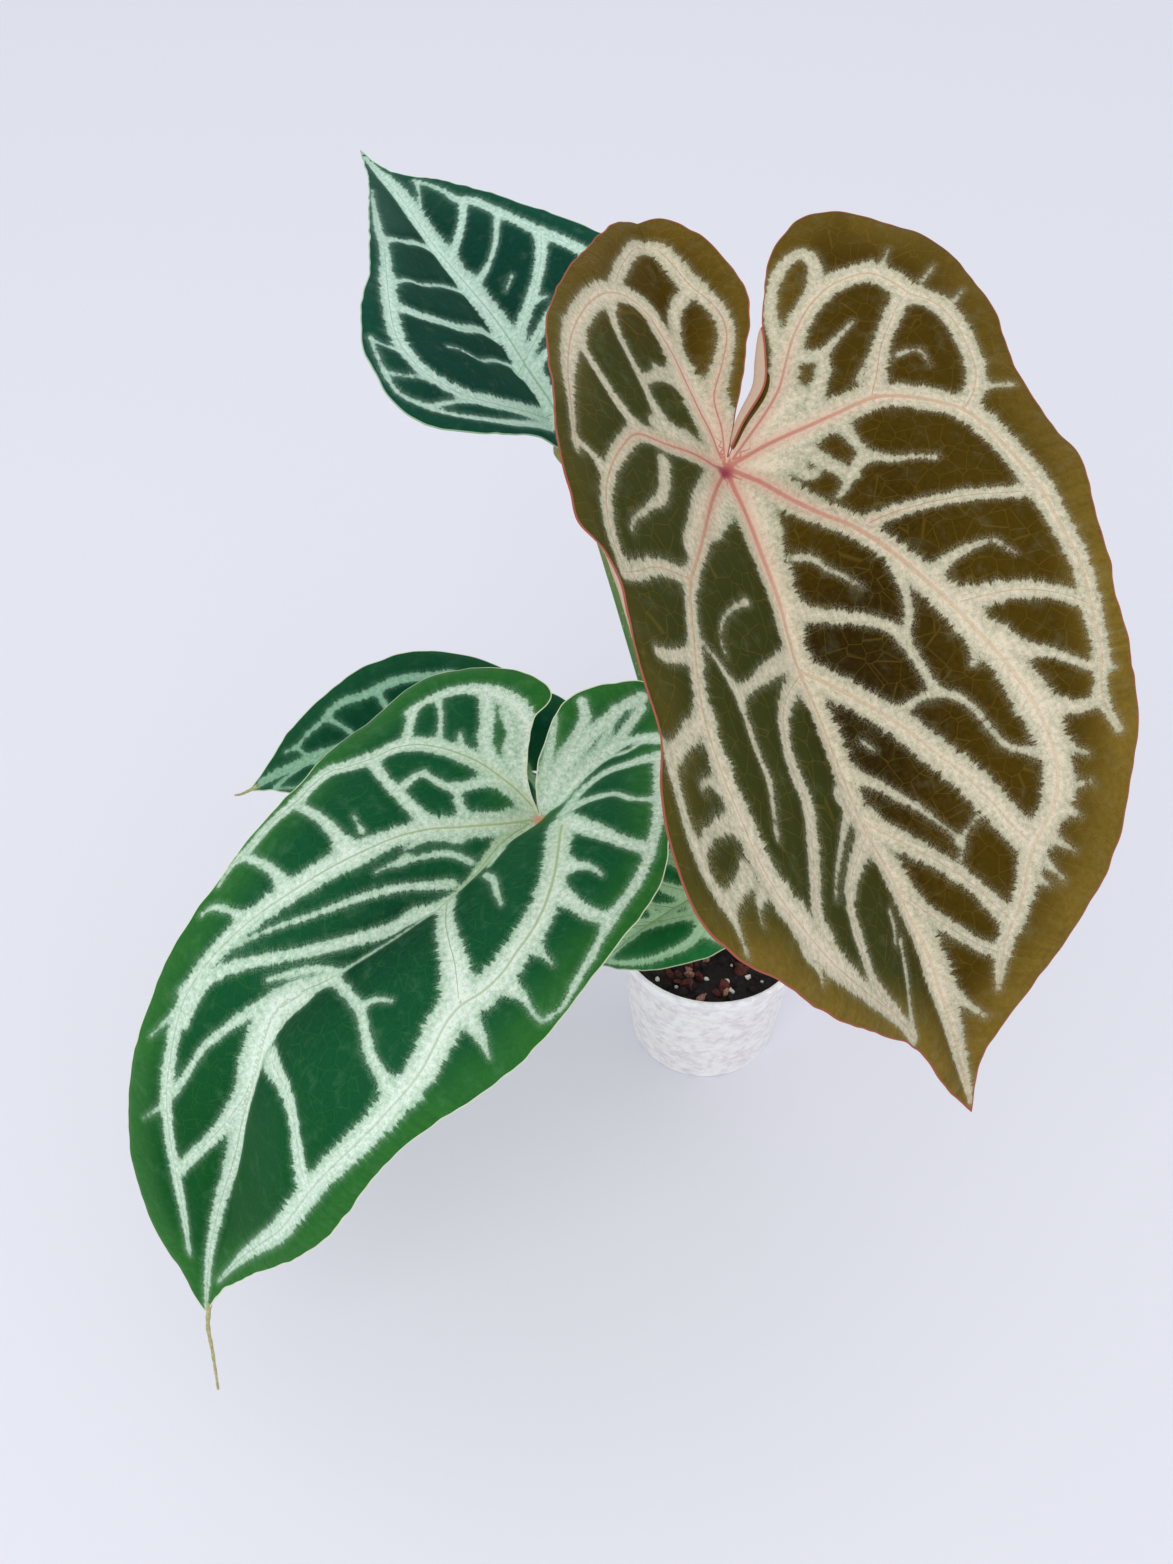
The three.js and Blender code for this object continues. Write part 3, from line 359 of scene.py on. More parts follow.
# %% Veins seen on the bronze leaf
BRONZE_VEINS = [
    ("8 8 7 6 5.4 5 5 5 6 3.4 1.4", 1.7, "727,467 742,507 760,551 778,600 798,668 819,718 839,769 "
     "863,829 887,870 907,914 923,942 940,990 956,1043 970,1100"),
    ("9 8 5.5 5 4.6 4.8 4.4 3.6 3.2 2.6 1", 1.5, "727,467 760,449 800,430 840,412 880,397 930,400 "
     "965,411 1000,440 1025,468 1052,510 1073,548 1088,590 1099,640 1103,700 1118,728"),
    ("8 6 5 4.5 4.6 4.8 4 3.6 3.6", 0.9, "729,464 748,438 766,412 779,388 786,362 794,335 808,308 "
     "828,288 850,277 870,273 890,281 910,294 935,303 952,318 966,342 975,366 974,390 965,408"),
    ("3 2.6 2.4 2.6 3", 0, "786,362 776,338 770,310 774,285 786,264 802,254 813,263 815,282 811,302"),
    ("2.4 2 1.2 0.6", 0, "784,356 802,357 820,356 832,344 842,333 852,322"),
    ("2 2.4 3.4", 0, "821,355 824,368 818,388 812,405"),
    ("4.6 3.6 3 3.6 4", 0.3, "871,399 877,372 881,346 890,322 899,303 908,294"),
    ("0.7 0.4", 0, "858,382 866,364 878,350"),
    ("0.8 0.5 0.3", 0, "896,357 906,352 920,351 930,366"),
    ("0.8 0.3 0.2", 0, "881,268 888,250"),
    ("0.8 0.2", 0, "922,282 934,266"),
    ("0.8 0.2", 0, "952,304 963,290"),
    ("1.6 0.9 0.5", 0, "976,388 998,386 1014,385"),
    ("9 8.6 7 5.6 5 5 5 3.2 1.6 0.9", 0.9, "727,467 713,440 701,415 690,390 676,360 660,334 645,312 "
     "628,298 608,293 592,300 578,318 570,340 567,370 570,400 573,425 577,452"),
    ("6 5 3.4 3 3.8 4 3.4 3.2 3", 0.5, "725,462 722,430 714,398 722,365 727,335 719,312 706,298 "
     "690,285 672,264 655,250 638,248 624,262 614,284"),
    ("3.6 3 3 3.4", 0, "692,386 681,360 675,335 674,315 682,299 692,288"),
    ("1.2 0.8", 0, "655,367 664,372 672,368"),
    ("7 5 4.4 3.8 3.6 3.4 3 2.6 2", 1.2, "727,467 700,458 670,446 637,434 622,446 611,466 606,492 "
     "608,520 613,542 622,564"),
    ("3 2.6 2.6 2.4", 0.4, "690,578 678,574 666,569 652,567 638,571 624,572"),
    ("1.2 1.6 3", 0, "576,440 589,452 604,470"),
    ("3 1.8 1.2 1.4 2.6", 0, "608,298 616,330 624,348 634,368 643,385 651,402 661,420 672,434"),
    ("2.2 2 2.4 3", 0, "580,342 590,360 601,377 613,396 624,412 636,428"),
    ("1.4 1.8 3", 0, "646,379 660,376 680,384"),
    ("3 3.4 3 2.4", 0, "700,458 690,446 676,436 655,424"),
    ("2.4 2.2 2 2 1.2 0.8 0.5", 0, "663,462 664,480 660,500 652,504 644,512 635,518 631,530"),
    ("7 4 3 2.8 2.6 2.8 3.6 5 5 6 6.4 3.6 3 1.6", 1.3, "727,467 715,492 705,530 696,562 690,585 "
     "690,612 694,650 698,685 704,718 713,748 726,785 740,820 756,858 778,896 803,928 836,966 "
     "858,986 880,1004 898,1018 914,1038"),
    ("2.8 2.2 2", 0, "696,656 680,656 666,656 658,652"),
    ("3.4 3 2.4", 0, "706,716 694,728 681,744 671,758"),
    ("1.6 1.8 1.8 2 2.2 2.4 1.2 0.6", 0, "663,742 672,775 680,805 689,835 698,856 703,870 712,886 "
     "722,901 732,916 740,936 748,956"),
    ("3 1.4 1.8", 0, "736,822 719,827 706,838 701,858"),
    ("3 2 2.2", 0, "746,876 736,893 728,906"),
    ("1.6 1 0.5", 0, "760,893 758,908 761,924"),
    ("1.6 1 0.6", 0, "718,788 706,781 700,789"),
    ("2.4 1.2 0.4", 0, "806,952 819,970 822,986"),
    ("4 3.6 2.6 1.4 1.3 1.2 0.9", 0, "794,656 770,670 750,686 739,696 747,722 758,755 768,780 "
     "772,805 776,838"),
    ("2 1.2 0.7 0.4", 0, "740,697 728,680 716,662 700,641"),
    ("1.2 0.8 0.5 0.4", 0, "745,603 730,610 721,624 719,640 724,656"),
    ("4 3 2.6 3 3 2.8 3", 0.3, "801,674 787,698 783,722 787,752 795,778 805,800 811,830 814,860 "
     "815,890 817,915 828,940"),
    ("2.6 1.6 1 0.5", 0, "838,796 846,810 843,832 840,852 837,872 835,900"),
    ("5 3.6 2.6 2.4 2.4 2 1.4", 0.3, "866,836 857,860 851,885 850,905 855,928 863,952 872,978 "
     "884,998 900,1020 914,1040"),
    ("0.9 1 1 1.2", 0, "899,942 903,962 907,985 910,1010 914,1034"),
    ("1 0.5", 0, "888,912 893,930 893,942"),
    ("8 5.4 4.2 4 4.2 5 6 5.6 6.4 5.4 5.2 4 3.6 3.2 1", 1.6, "727,467 755,480 785,496 820,513 "
     "852,526 890,550 935,588 970,622 1000,655 1025,688 1042,718 1054,750 1058,778 1054,805 "
     "1040,832 1030,858 1026,884 1018,910 1008,932 1002,955 998,988"),
    ("3 2.6 2.6 2.6 3", 0.4, "868,524 890,514 915,506 945,499 975,494 1005,492 1040,490"),
    ("3 2 1.2 0.8 0.5", 0, "932,576 948,560 965,550 982,543 995,540 1004,547 1015,553"),
    ("5 4 3.4 2.6 2.6", 0.4, "958,602 985,595 1010,590 1040,590 1068,595 1092,604"),
    ("6 3.4 2 1.6 1.6", 0, "1000,642 1025,650 1050,652 1075,661 1098,668"),
    ("6 4 2.6 2", 0, "1036,704 1058,706 1080,706 1100,699"),
    ("2.2 2 1.6 1.2 0.8", 0, "790,446 808,452 824,462 840,469 850,476 860,461 872,456 892,459 "
     "912,457 935,458"),
    ("2 1.2 1.2", 0, "846,430 855,442 862,450 864,459"),
    ("1.2 0.7 0.4", 0, "850,476 846,488 839,497"),
    ("1 0.7", 0, "798,466 805,476 815,475"),
    ("4 2.6 2.4 2 1.6 1.6 1.2 0.9 1 1.6", 0, "786,606 805,614 835,617 865,620 893,629 908,646 "
     "922,668 938,691 958,697 975,710 990,728 1008,746 1040,752"),
    ("3 1.4 1.3 1.6", 0, "900,568 903,582 909,612 906,636"),
    ("1.4 1.2 2", 0, "936,692 920,698 906,708 896,716"),
    ("1 0.7 0.5", 0, "796,558 813,559 825,568 842,576 862,588"),
    ("2.4 1.4 1", 0, "986,640 976,650 973,664"),
    ("5 4.4 4.6 5 5.2 5", 1.2, "798,668 820,680 850,695 880,712 905,728 935,752 965,775 990,800 "
     "1010,822 1032,844"),
    ("0.6 0.4", 0, "862,742 876,751"),
    ("0.4 0.35", 0, "962,840 961,858"),
    ("0.5 0.4 0.4", 0, "961,839 968,828 977,817"),
    ("3.4 1.8 1.4 0.8 0.4", 0, "842,772 862,779 880,786 902,799 920,808 940,824 960,840"),
    ("5 3.4 2.8 2.6 3.4", 0.7, "865,822 890,836 920,851 950,868 975,886 995,905 1012,920"),
    ("4 3 2.4 2.2 2.2", 0.5, "893,882 912,900 932,916 956,931 980,945 1002,953"),
    ("0.9 0.6", 0, "888,868 905,884"),
    ("3 2 1.4 0.8", 0, "936,972 950,988 965,1002 985,1016"),
    ("1.8 0.3", 0, "1062,744 1088,753"),
    ("1.8 0.3", 0, "1064,788 1090,781"),
    ("2 0.3", 0, "1058,806 1080,815"),
    ("2 0.3", 0, "1046,834 1074,850"),
    ("1.8 0.3", 0, "1036,852 1064,880"),
    ("1.6 0.3", 0, "1030,872 1050,886"),
    ("1.2 0.3", 0, "1100,664 1116,668"),
    ("1 0.3", 0, "1096,690 1118,728"),
    ("6 7 6.5 3", 0, "736,466 755,466 775,465 792,463"),
    ("4 5.5 5 3", 0, "733,482 746,500 760,518 770,534"),
    ("3 4.5 4 2.5", 0, "723,484 721,502 717,520 712,534"),
    ("3 4.5 4.5 3.6", 0, "712,482 704,500 697,525 690,548"),
    ("4 6 6 4", 0, "736,456 756,436 778,412 796,396"),
]

# %% Veins seen on the green leaf, and the stretch of its midrib that the bulge hides
GREEN_VEINS = [
    ("4.6 4.6 4.6 4.4 4.8 5 4.6 3.6 3.2 3 3.2 3.2 2.8 2.6 1.8 0.8", 0.8, "530,820 500,824 460,827 "
     "430,829 400,836 370,848 340,863 310,880 280,899 255,917 232,937 210,960 194,982 184,1000 "
     "176,1025 170,1060 167,1090 168,1115 171,1145 176,1172 183,1205 190,1255"),
    ("5 3.8 3.6 3.6 4 3.6 3.6 3.4 2.6 2 0.8", 0.7, "532,806 516,790 500,777 480,763 460,754 440,748 "
     "415,745 395,748 375,757 350,766 330,772 312,785 298,800 280,815 265,830 252,846 241,857 "
     "230,868 219,886"),
    ("1.6 2.4 3.2 4.4 5 4.4 4 4.6", 0, "408,713 422,704 442,695 466,690 490,692 510,701 524,716 "
     "529,736 525,760 525,780 532,802"),
    ("3.6 3 3 4", 0, "486,696 487,720 485,742 491,762 503,780"),
    ("2.2 2.2 2.6", 0, "414,710 410,725 406,744"),
    ("1.4 1 1.2", 0, "438,700 441,716 440,734 438,748"),
    ("1 0.4", 0, "462,752 460,734"),
    ("2 2 2.2", 0, "504,712 512,735 508,750 512,765 519,782"),
    ("1.8 1.4 1.2 1.6 2.2", 0, "401,789 412,779 422,774 432,779 445,786 458,788 474,784 490,780"),
    ("1.2 1.2 2", 0, "457,788 458,800 463,814"),
    ("3 2.6 2.6 3.4", 0, "372,762 382,776 393,789 405,801 416,812 428,824"),
    ("2.2 2.2 3 6", 0, "302,808 318,817 332,830 344,846 352,856"),
    ("1.8 1.6 2 4", 0, "243,857 260,863 273,871 286,888"),
    ("1.2 0.5", 0, "362,832 354,817"),
    ("0.8 1.2 1.4 3", 0, "203,915 213,908 230,911 246,920"),
    ("1 0.3", 0, "176,1012 162,1025 150,1037"),
    ("1 0.3", 0, "166,1104 144,1118"),
    ("1 0.3", 0, "195,985 180,990"),
    ("2 1.6 1.6 1.3 1 0.5", 0, "452,884 430,886 400,888 370,895 340,905 305,918 270,930 236,947"),
    ("3.6 3 2.6 2.4 2.2 2.4 2.6 2.6", 0, "446,905 420,914 390,930 350,941 310,951 280,957 245,964 "
     "218,973 203,985 193,1002 184,1022"),
    ("2 1.6 1.2 0.7", 0, "336,973 315,969 290,974 268,980"),
    ("3 2.2 2.2 2 1.6 1.6 2", 0, "334,980 312,985 290,993 270,1001 252,1011 235,1022 218,1035 "
     "205,1046 195,1060 185,1077 174,1092"),
    ("1 0.6 0.4", 0, "460,840 430,838 405,850"),
    ("0.8 1 0.6", 0, "470,862 448,854 420,858 396,866"),
    ("0.8 0.4", 0, "408,857 375,873"),
    ("5 4.6 3.4 2.8 2.6", 0.3, "254,1072 245,1095 228,1120 210,1140 195,1154 182,1168"),
    ("6 7 6 4.6 4 3.2 2.6 2.2 1.6 1", 0.6, "300,995 276,1012 264,1040 258,1065 250,1095 242,1122 "
     "236,1150 229,1175 221,1200 214,1230 209,1260 207,1290 207,1310"),
    ("5 3.6 3 3 3.4 4.4", 0.3, "272,1060 284,1086 292,1112 297,1145 302,1175 308,1190"),
    ("5 5 5.4 5.6 6 7 6.4 5.6 5.2 4.8 4.4 4.8 4 3 1.6 0.7", 1.0, "562,826 558,850 555,870 549,893 "
     "541,914 530,934 516,953 503,972 482,992 460,1006 444,1026 434,1046 424,1066 410,1086 "
     "394,1104 374,1126 354,1146 334,1165 314,1186 298,1207 280,1230 262,1243 245,1255 218,1282"),
    ("4 4 4.6 6 7", 0.5, "447,903 446,925 450,945 455,965 459,1000"),
    ("2.6 2.2 1.8 2 2.2 4", 0, "335,980 350,996 361,1012 366,1035 371,1056 382,1075 396,1098"),
    ("1.4 0.7", 0, "363,1006 374,1000 392,1001"),
    ("4 1.4 0.4", 0, "566,866 590,867 602,876"),
    ("4.4 3.4 2.6 2.2", 0, "556,892 574,904 590,914 610,919"),
    ("5 3.6 2.8 2.6", 0, "566,824 600,833 625,843 646,849"),
    ("2 1.6 1.8 2.4 2.8", 0, "564,814 578,796 592,783 608,772 628,765 645,760 660,758"),
    ("4 4.4 3 3.4 4", 0, "560,802 580,776 600,757 625,744 645,739 660,741"),
    ("2 1.2 0.8 0.9 1", 0, "574,808 585,802 600,797 615,794 632,799 655,800"),
    ("2.6 2.6 2.4 2 2 2 1.6 1.4 0.7", 0, "659,756 660,790 657,825 650,850 645,866 634,887 620,906 "
     "610,919 601,937 592,955 582,972 572,990 562,1008 545,1020"),
    ("2 0.4", 0, "538,950 553,965"),
    ("4 1.8 1 0.5", 0, "508,986 524,998 531,1010 541,1021"),
    ("4 2.2 0.5", 0, "468,1018 480,1036 489,1058"),
    ("1.2 1 0.5", 0, "485,875 493,880 497,893 502,906"),
    ("1.4 0.4", 0, "501,852 490,866"),
    ("4 3.6 3 2.6 2.6", 0, "546,802 560,774 580,746 600,726 620,709 642,697"),
    ("2.4 2.2 2.6", 0, "582,702 585,716 579,732 565,756 552,786 543,806"),
    ("1 1 1.6", 0, "617,709 612,724 603,742 592,762"),
    ("2.2 2.2 2.4", 0, "642,708 630,724 617,741 604,756"),
    ("1 1.2 1.4", 0, "555,716 552,738 547,760 543,785"),
    ("1.4 0.8", 0, "649,738 628,752 612,757"),
]
GREEN_HIDDEN_VEINS = [
    ("2.6 1.4 0.8 0.7 1.6 4.4 6.4", 0.6, "2,-2 20,-2 41,2 62,4 84,3 108,-6 130,-16 158,-13"),
]

# %% Veins seen on the dark, low and small leaves
DARK_VEINS = [
    ("4.8 4.8 4.8 5 5.2 5 5 4.4 3 1.4", 0.8, "556,412 548,398 530,372 510,340 490,312 470,288 "
     "450,265 430,240 410,210 395,190 380,175 365,158"),
    ("4.2 4.2 3.8 3.6 3.6 3.8 4.2 3 2.4 1.8 1.2 0.5", 0.5, "551,414 520,410 490,402 465,395 "
     "440,383 420,369 405,351 394,330 390,310 388,290 386,270 384,250 379,232 375,212 372,190"),
    ("3.4 2.6 2.6 3", 0.3, "502,336 480,331 460,329 440,322 420,316 405,310 394,307"),
    ("1.8 1.2 1 1.4", 0, "467,287 440,286 420,285 408,281 392,283"),
    ("3 2.2 1.6 2", 0, "437,246 415,244 405,243 395,240 383,241"),
    ("1.2 0.8 0.7 0.4", 0, "520,363 495,361 480,361 468,355 458,350 446,348"),
    ("1.6 1.6 1.4 1.3 1.1 0.6", 0, "553,424 530,425 500,422 470,418 440,412 420,405 400,395 "
     "390,383 383,370 378,358 373,345 370,337"),
    ("1.2 1.2 1.6", 0, "430,408 445,404 465,401 485,402"),
    ("0.8 0.6 1", 0, "387,373 402,376 424,378"),
    ("0.5 0.6 1", 0, "370,338 380,344 402,352"),
    ("0.7 1.2 1.8 2.4 2.4 2.8 3.2 3.6", 0.4, "414,181 430,186 445,192 456,199 470,200 485,206 "
     "500,213 520,222 540,232 558,239 580,250 610,270"),
    ("1.8 1.3 1.3 2", 0, "499,213 497,225 496,242 492,256 486,270 478,282"),
    ("2.2 2.2 2.6 3", 0, "463,202 463,216 460,232 456,246 452,258"),
    ("0.8 0.5", 0, "417,183 420,197 420,212"),
    ("3.2 2.8 2.8 3.2", 0.3, "541,234 541,258 537,280 531,300 524,320 519,338"),
    ("0.7 0.4", 0, "512,276 506,292"),
    ("1.4 0.8", 0, "532,302 546,297"),
    ("2.6 1.6", 0, "534,372 548,350"),
]
DARK_HIDDEN_VEINS = [
    ("4.6 4.4 4.2 4 3.6 3.4 4", 0.5, "62,-62 40,-69 14,-68 -6,-54 -13,-34 -9,-16 0,-2"),
    ("3.4 3 3 4", 0.3, "12,0 24,-24 30,-46 34,-68"),
    ("3.2 2.6 2.6 3.4", 0.3, "40,0 54,-24 64,-44 72,-58"),
    ("2.4 1.6 1.6", 0, "-12,-30 4,-30 20,-32"),
]
LOW_VEINS = [
    ("0.7 1 1.4 2 2.3 2.4 2.6 3", 0, "286,752 298,746 309,733 322,722 332,710 345,701 360,697 "
     "376,690 391,683 410,678 430,677 450,675"),
    ("1.4 1.3 1.6", 0, "377,691 385,705 394,716"),
    ("1.2 1 1.2", 0, "331,720 345,728 355,735 368,742"),
    ("0.8 1 1.2", 0, "298,748 308,756 318,764"),
    ("1.8 2.2 1.4", 0.4, "318,758 290,768 262,781"),
]
SMALL_VEINS = [
    ("1.8 2.2 2.4 2.6 2.6", 0.4, "610,933 626,929 650,924 675,918 696,914 712,911"),
    ("2.2 2.2 1.8 1.6 1.4 1 0.5", 0, "697,914 701,925 697,936 685,946 670,953 655,959 640,962 "
     "622,963 603,961"),
    ("1.6 1.2 1", 0, "628,929 619,945 610,958"),
    ("0.8 0.9 1.2", 0, "648,905 655,913 664,922"),
    ("2.2 2.4 2.6", 0, "664,888 680,894 694,905"),
    ("1.6 1 0.6", 0, "700,930 712,938 724,943"),
]

# %% Laying the veins on the flat blades
BAND_SHARE = 0.98
RIB_SHARE = 0.75


def width_along(text, count):
    widths = [float(w) for w in text.split()]
    return np.interp(np.linspace(0, 1, count), np.linspace(0, 1, len(widths)), widths)


def vein(flat, bands, rib):
    """A vein as flat points, the band's half width at each, and the rib's half width."""
    line = spaced(curve_through(flat, 16), 2.5)
    return {"line": line, "band": width_along(bands, len(line)) * BAND_SHARE, "rib": rib * RIB_SHARE}


def seen_veins(blade, rows):
    """Veins laid on a blade from the places where the picture shows them."""
    paths = [places(path) for _, _, path in rows]
    ends = np.cumsum([len(path) for path in paths])[:-1]
    flats = np.split(blade.flat_place(np.vstack(paths)), ends)
    return [vein(flat, bands, rib) for flat, (bands, rib, _) in zip(flats, rows)]


def hidden_veins(rows):
    """Veins whose paths are written as flat places."""
    return [vein(places(path), bands, rib) for bands, rib, path in rows]


def outline_of(blade, step):
    """The flat outline as points that run round it once from the sinus, left lobe first."""
    leaf = blade.leaf
    left, right = (spaced(curve_through(np.vstack([[leaf["sinus"]], places(leaf[key])])), step)
                   for key in ("outline_left", "outline_right"))
    return np.vstack([left, right[::-1][1:-1]]), len(left)


def edge_at(blade, s, side):
    """How far the margin is from the midrib at s, on one side."""
    outline, _ = outline_of(blade, 2)
    near = outline[(np.abs(outline[:, 0] - s) < 3) & (outline[:, 1] * side > 0)]
    return np.abs(near[:, 1]).max() if len(near) else 0


def plain_veins(blade, side, scale=1.0):
    """Veins of a half that the picture hides."""
    long = blade.length
    stations = np.array([-0.05, 0.08, 0.2, 0.34, 0.48, 0.62, 0.76, 0.88]) * long
    collect = [(s, side * 0.76 * edge_at(blade, s, side)) for s in stations]
    lobe = -0.62 * abs(min(places(blade.leaf["outline_left"])[:, 0].min(), -10))
    wide = edge_at(blade, lobe, side)
    start = [(0, side * 1), (lobe * 0.4, side * 0.22 * wide), (lobe, side * 0.55 * wide),
             (lobe * 0.8, side * 0.82 * wide)]
    paths = [("3.4 3 2.8 2.6 2.2 1.6 1.2 0.6", 0.9, start + collect)]
    paths.append(("3.2 3 2.6 2.4 2", 0.8, [(0, 0), (0.07 * long, side * 0.26 * edge_at(blade, 0, side)),
                                           (0.2 * long, side * 0.5 * edge_at(blade, 0.2 * long, side)),
                                           tuple(collect[3])]))
    for k, root in enumerate((0.12, 0.26, 0.4, 0.54, 0.68)):
        end = collect[min(k + 3, 7)]
        middle = ((root * long + end[0]) / 2 + 0.02 * long, 0.55 * end[1])
        paths.append(("2.6 1.8 1.4 1.6", 0.4, [(root * long, 0), middle, end]))
    paths.append(("2 1.6 1.4", 0, [start[1], (lobe * 0.55, side * 0.6 * wide), collect[0]]))
    made = []
    for bands, rib, path in paths:
        one = vein(np.array(path), bands, rib)
        one["band"] = one["band"] * scale
        made.append(one)
    return made


def midrib(blade, bands, rib):
    end = blade.length - 4
    return vein(np.array([(3, 0), (end * 0.3, 0), (end * 0.6, 0), (end, 0)]), bands, rib)


VEINS = {
    "bronze": seen_veins(BLADES["bronze"], BRONZE_VEINS),
    "green": seen_veins(BLADES["green"], GREEN_VEINS) + hidden_veins(GREEN_HIDDEN_VEINS),
    "dark": seen_veins(BLADES["dark"], DARK_VEINS) + hidden_veins(DARK_HIDDEN_VEINS),
    "low": seen_veins(BLADES["low"], LOW_VEINS) + plain_veins(BLADES["low"], 1, 0.8)
    + [midrib(BLADES["low"], "2.6 2.4 2 1.2", 0.9)],
    "small": seen_veins(BLADES["small"], SMALL_VEINS) + plain_veins(BLADES["small"], -1, 0.6)
    + [midrib(BLADES["small"], "2 2 1.6 1", 0.7)],
}
for name, veins in VEINS.items():
    total = sum(np.linalg.norm(np.diff(v["line"], axis=0), axis=1).sum() for v in veins)
    print(f"{name}: {len(veins)} veins, {total:.0f} mm in all")

# %% [markdown]
# ## A blade's mesh
# The flat heart is filled with small triangles inside its outline, because a curved sheet with thin
# veins needs an even mesh that a grid of quads wouldn't give at a heart's edge. Every flat place is
# then bent to its place on the blade. The upper side puffs up between the veins, as quilted leaves
# do; the underside follows it half a millimetre or more below, with the ribs standing out of it.
#
# How far each place is from the veins is kept on the mesh as attributes. The finish reads them, so
# the bands stay sharp however coarse the mesh is.

# %% Flat heart of small triangles
EDGE_STEP = 1.25
SCALLOP_FADE = 15
ROW_SHARE = 0.866


def turns_left(loop):
    """Whether a closed loop runs round to the left."""
    following = np.roll(loop, -1, 0)
    return (loop[:, 0] * following[:, 1] - following[:, 0] * loop[:, 1]).sum() > 0


def scalloped(outline):
    """The outline with the small uneven scallops of a living margin."""
    ahead = np.roll(outline, -1, 0) - np.roll(outline, 1, 0)
    out = unit(np.stack([ahead[:, 1], -ahead[:, 0]], -1))
    if not turns_left(outline):
        out = -out
    a = np.r_[0, np.cumsum(np.linalg.norm(np.diff(outline, axis=0), axis=1))]
    depth = 0.22 * np.sin(a / 3.7 + 1.3 * np.sin(a / 8.4)) + 0.10 * np.sin(a / 1.6 + np.sin(a / 5.7))
    for end in (outline[0], outline[outline[:, 0].argmax()]):
        depth = depth * ease(np.linalg.norm(outline - end, axis=1) / SCALLOP_FADE)
    return outline + out * depth[:, None]


def inside(loop, flat):
    hits = np.zeros(len(flat), int)
    for (x0, y0), (x1, y1) in zip(loop, np.roll(loop, -1, 0)):
        if y0 != y1:
            crosses = (flat[:, 1] > y0) != (flat[:, 1] > y1)
            hits += crosses & (flat[:, 0] < x0 + (flat[:, 1] - y0) / (y1 - y0) * (x1 - x0))
    return hits % 2 == 1


def flat_heart(blade):
    """Flat vertices, triangles, margin length of the loop, and distance to the margin."""
    loop = scalloped(outline_of(blade, EDGE_STEP)[0])
    step = blade.leaf["spacing"]
    low, high = loop.min(0), loop.max(0)
    grid = np.array([(s, t) for k, s in enumerate(np.arange(low[0], high[0], step * ROW_SHARE))
                     for t in np.arange(low[1] + (k % 2) * step / 2, high[1], step)])
    grid = grid[inside(loop, grid)]
    gap = nearest_on(np.vstack([loop, loop[:1]]), grid)[0]
    grid, gap = grid[gap > 0.62 * step], gap[gap > 0.62 * step]
    flat = np.vstack([loop, grid])
    ring = [(i, (i + 1) % len(loop)) for i in range(len(loop))]
    spots, _, faces, _, _, _ = delaunay_2d_cdt([Vector(p) for p in flat.tolist()], ring, [], 1, 1e-5)
    if len(spots) != len(flat):
        raise ValueError("the outline crosses itself")
    triangles = np.array(faces)
    a, b, c = (flat[triangles[:, k]] for k in range(3))
    turned = (b[:, 0] - a[:, 0]) * (c[:, 1] - a[:, 1]) - (b[:, 1] - a[:, 1]) * (c[:, 0] - a[:, 0]) < 0
    triangles[turned] = triangles[turned][:, ::-1]
    return flat, triangles, len(loop), np.r_[np.zeros(len(loop)), gap]

# %% Distances from the veins
FAR = 30.0
REACH = 22.0
SOFT_EDGE = 1.1
SOFT_DIP = 1.0


def vein_fields(flat, veins):
    """Signed distance to the silver's edge, and what else the finish reads, for each flat place."""
    count = len(flat)
    edges = np.full(count, math.exp(-FAR / SOFT_EDGE))
    dips = np.full(count, math.exp(-FAR / SOFT_DIP))
    best, best_rib = np.full(count, FAR), np.full(count, FAR)
    foot, feather = flat.copy(), np.full(count, 0.6)
    away, rib = np.full((count, 2), FAR), np.zeros(count)
    for one in veins:
        line = one["line"]
        near = np.nonzero(((flat > line.min(0) - REACH) & (flat < line.max(0) + REACH)).all(1))[0]
        if not len(near):
            continue
        gap, on, share = nearest_on(line, flat[near])
        half = np.interp(share, np.linspace(0, 1, len(line)), one["band"])
        edge = gap - half
        edges[near] += np.exp(-edge / SOFT_EDGE)
        dips[near] += np.exp(-(gap + 3 * np.maximum(0, 1 - half / 2.6)) / SOFT_DIP)
        closer = edge < best[near]
        hit = near[closer]
        best[hit], foot[hit] = edge[closer], on[closer]
        feather[hit] = 0.5 + 0.22 * half[closer]
        if one["rib"]:
            width = one["rib"] * (1 - 0.6 * share)
            closer = gap - width < best_rib[near]
            hit = near[closer]
            best_rib[hit], rib[hit] = (gap - width)[closer], width[closer]
            away[hit] = (flat[near] - on)[closer]
    return {"band": -SOFT_EDGE * np.log(edges), "dip": -SOFT_DIP * np.log(dips), "foot": foot,
            "feather": feather, "away": away, "rib": rib, "rib_edge": best_rib}

# %% Bending the heart into a blade with two sides
THICK_MIDDLE = 0.85
THICK_EDGE = 0.5


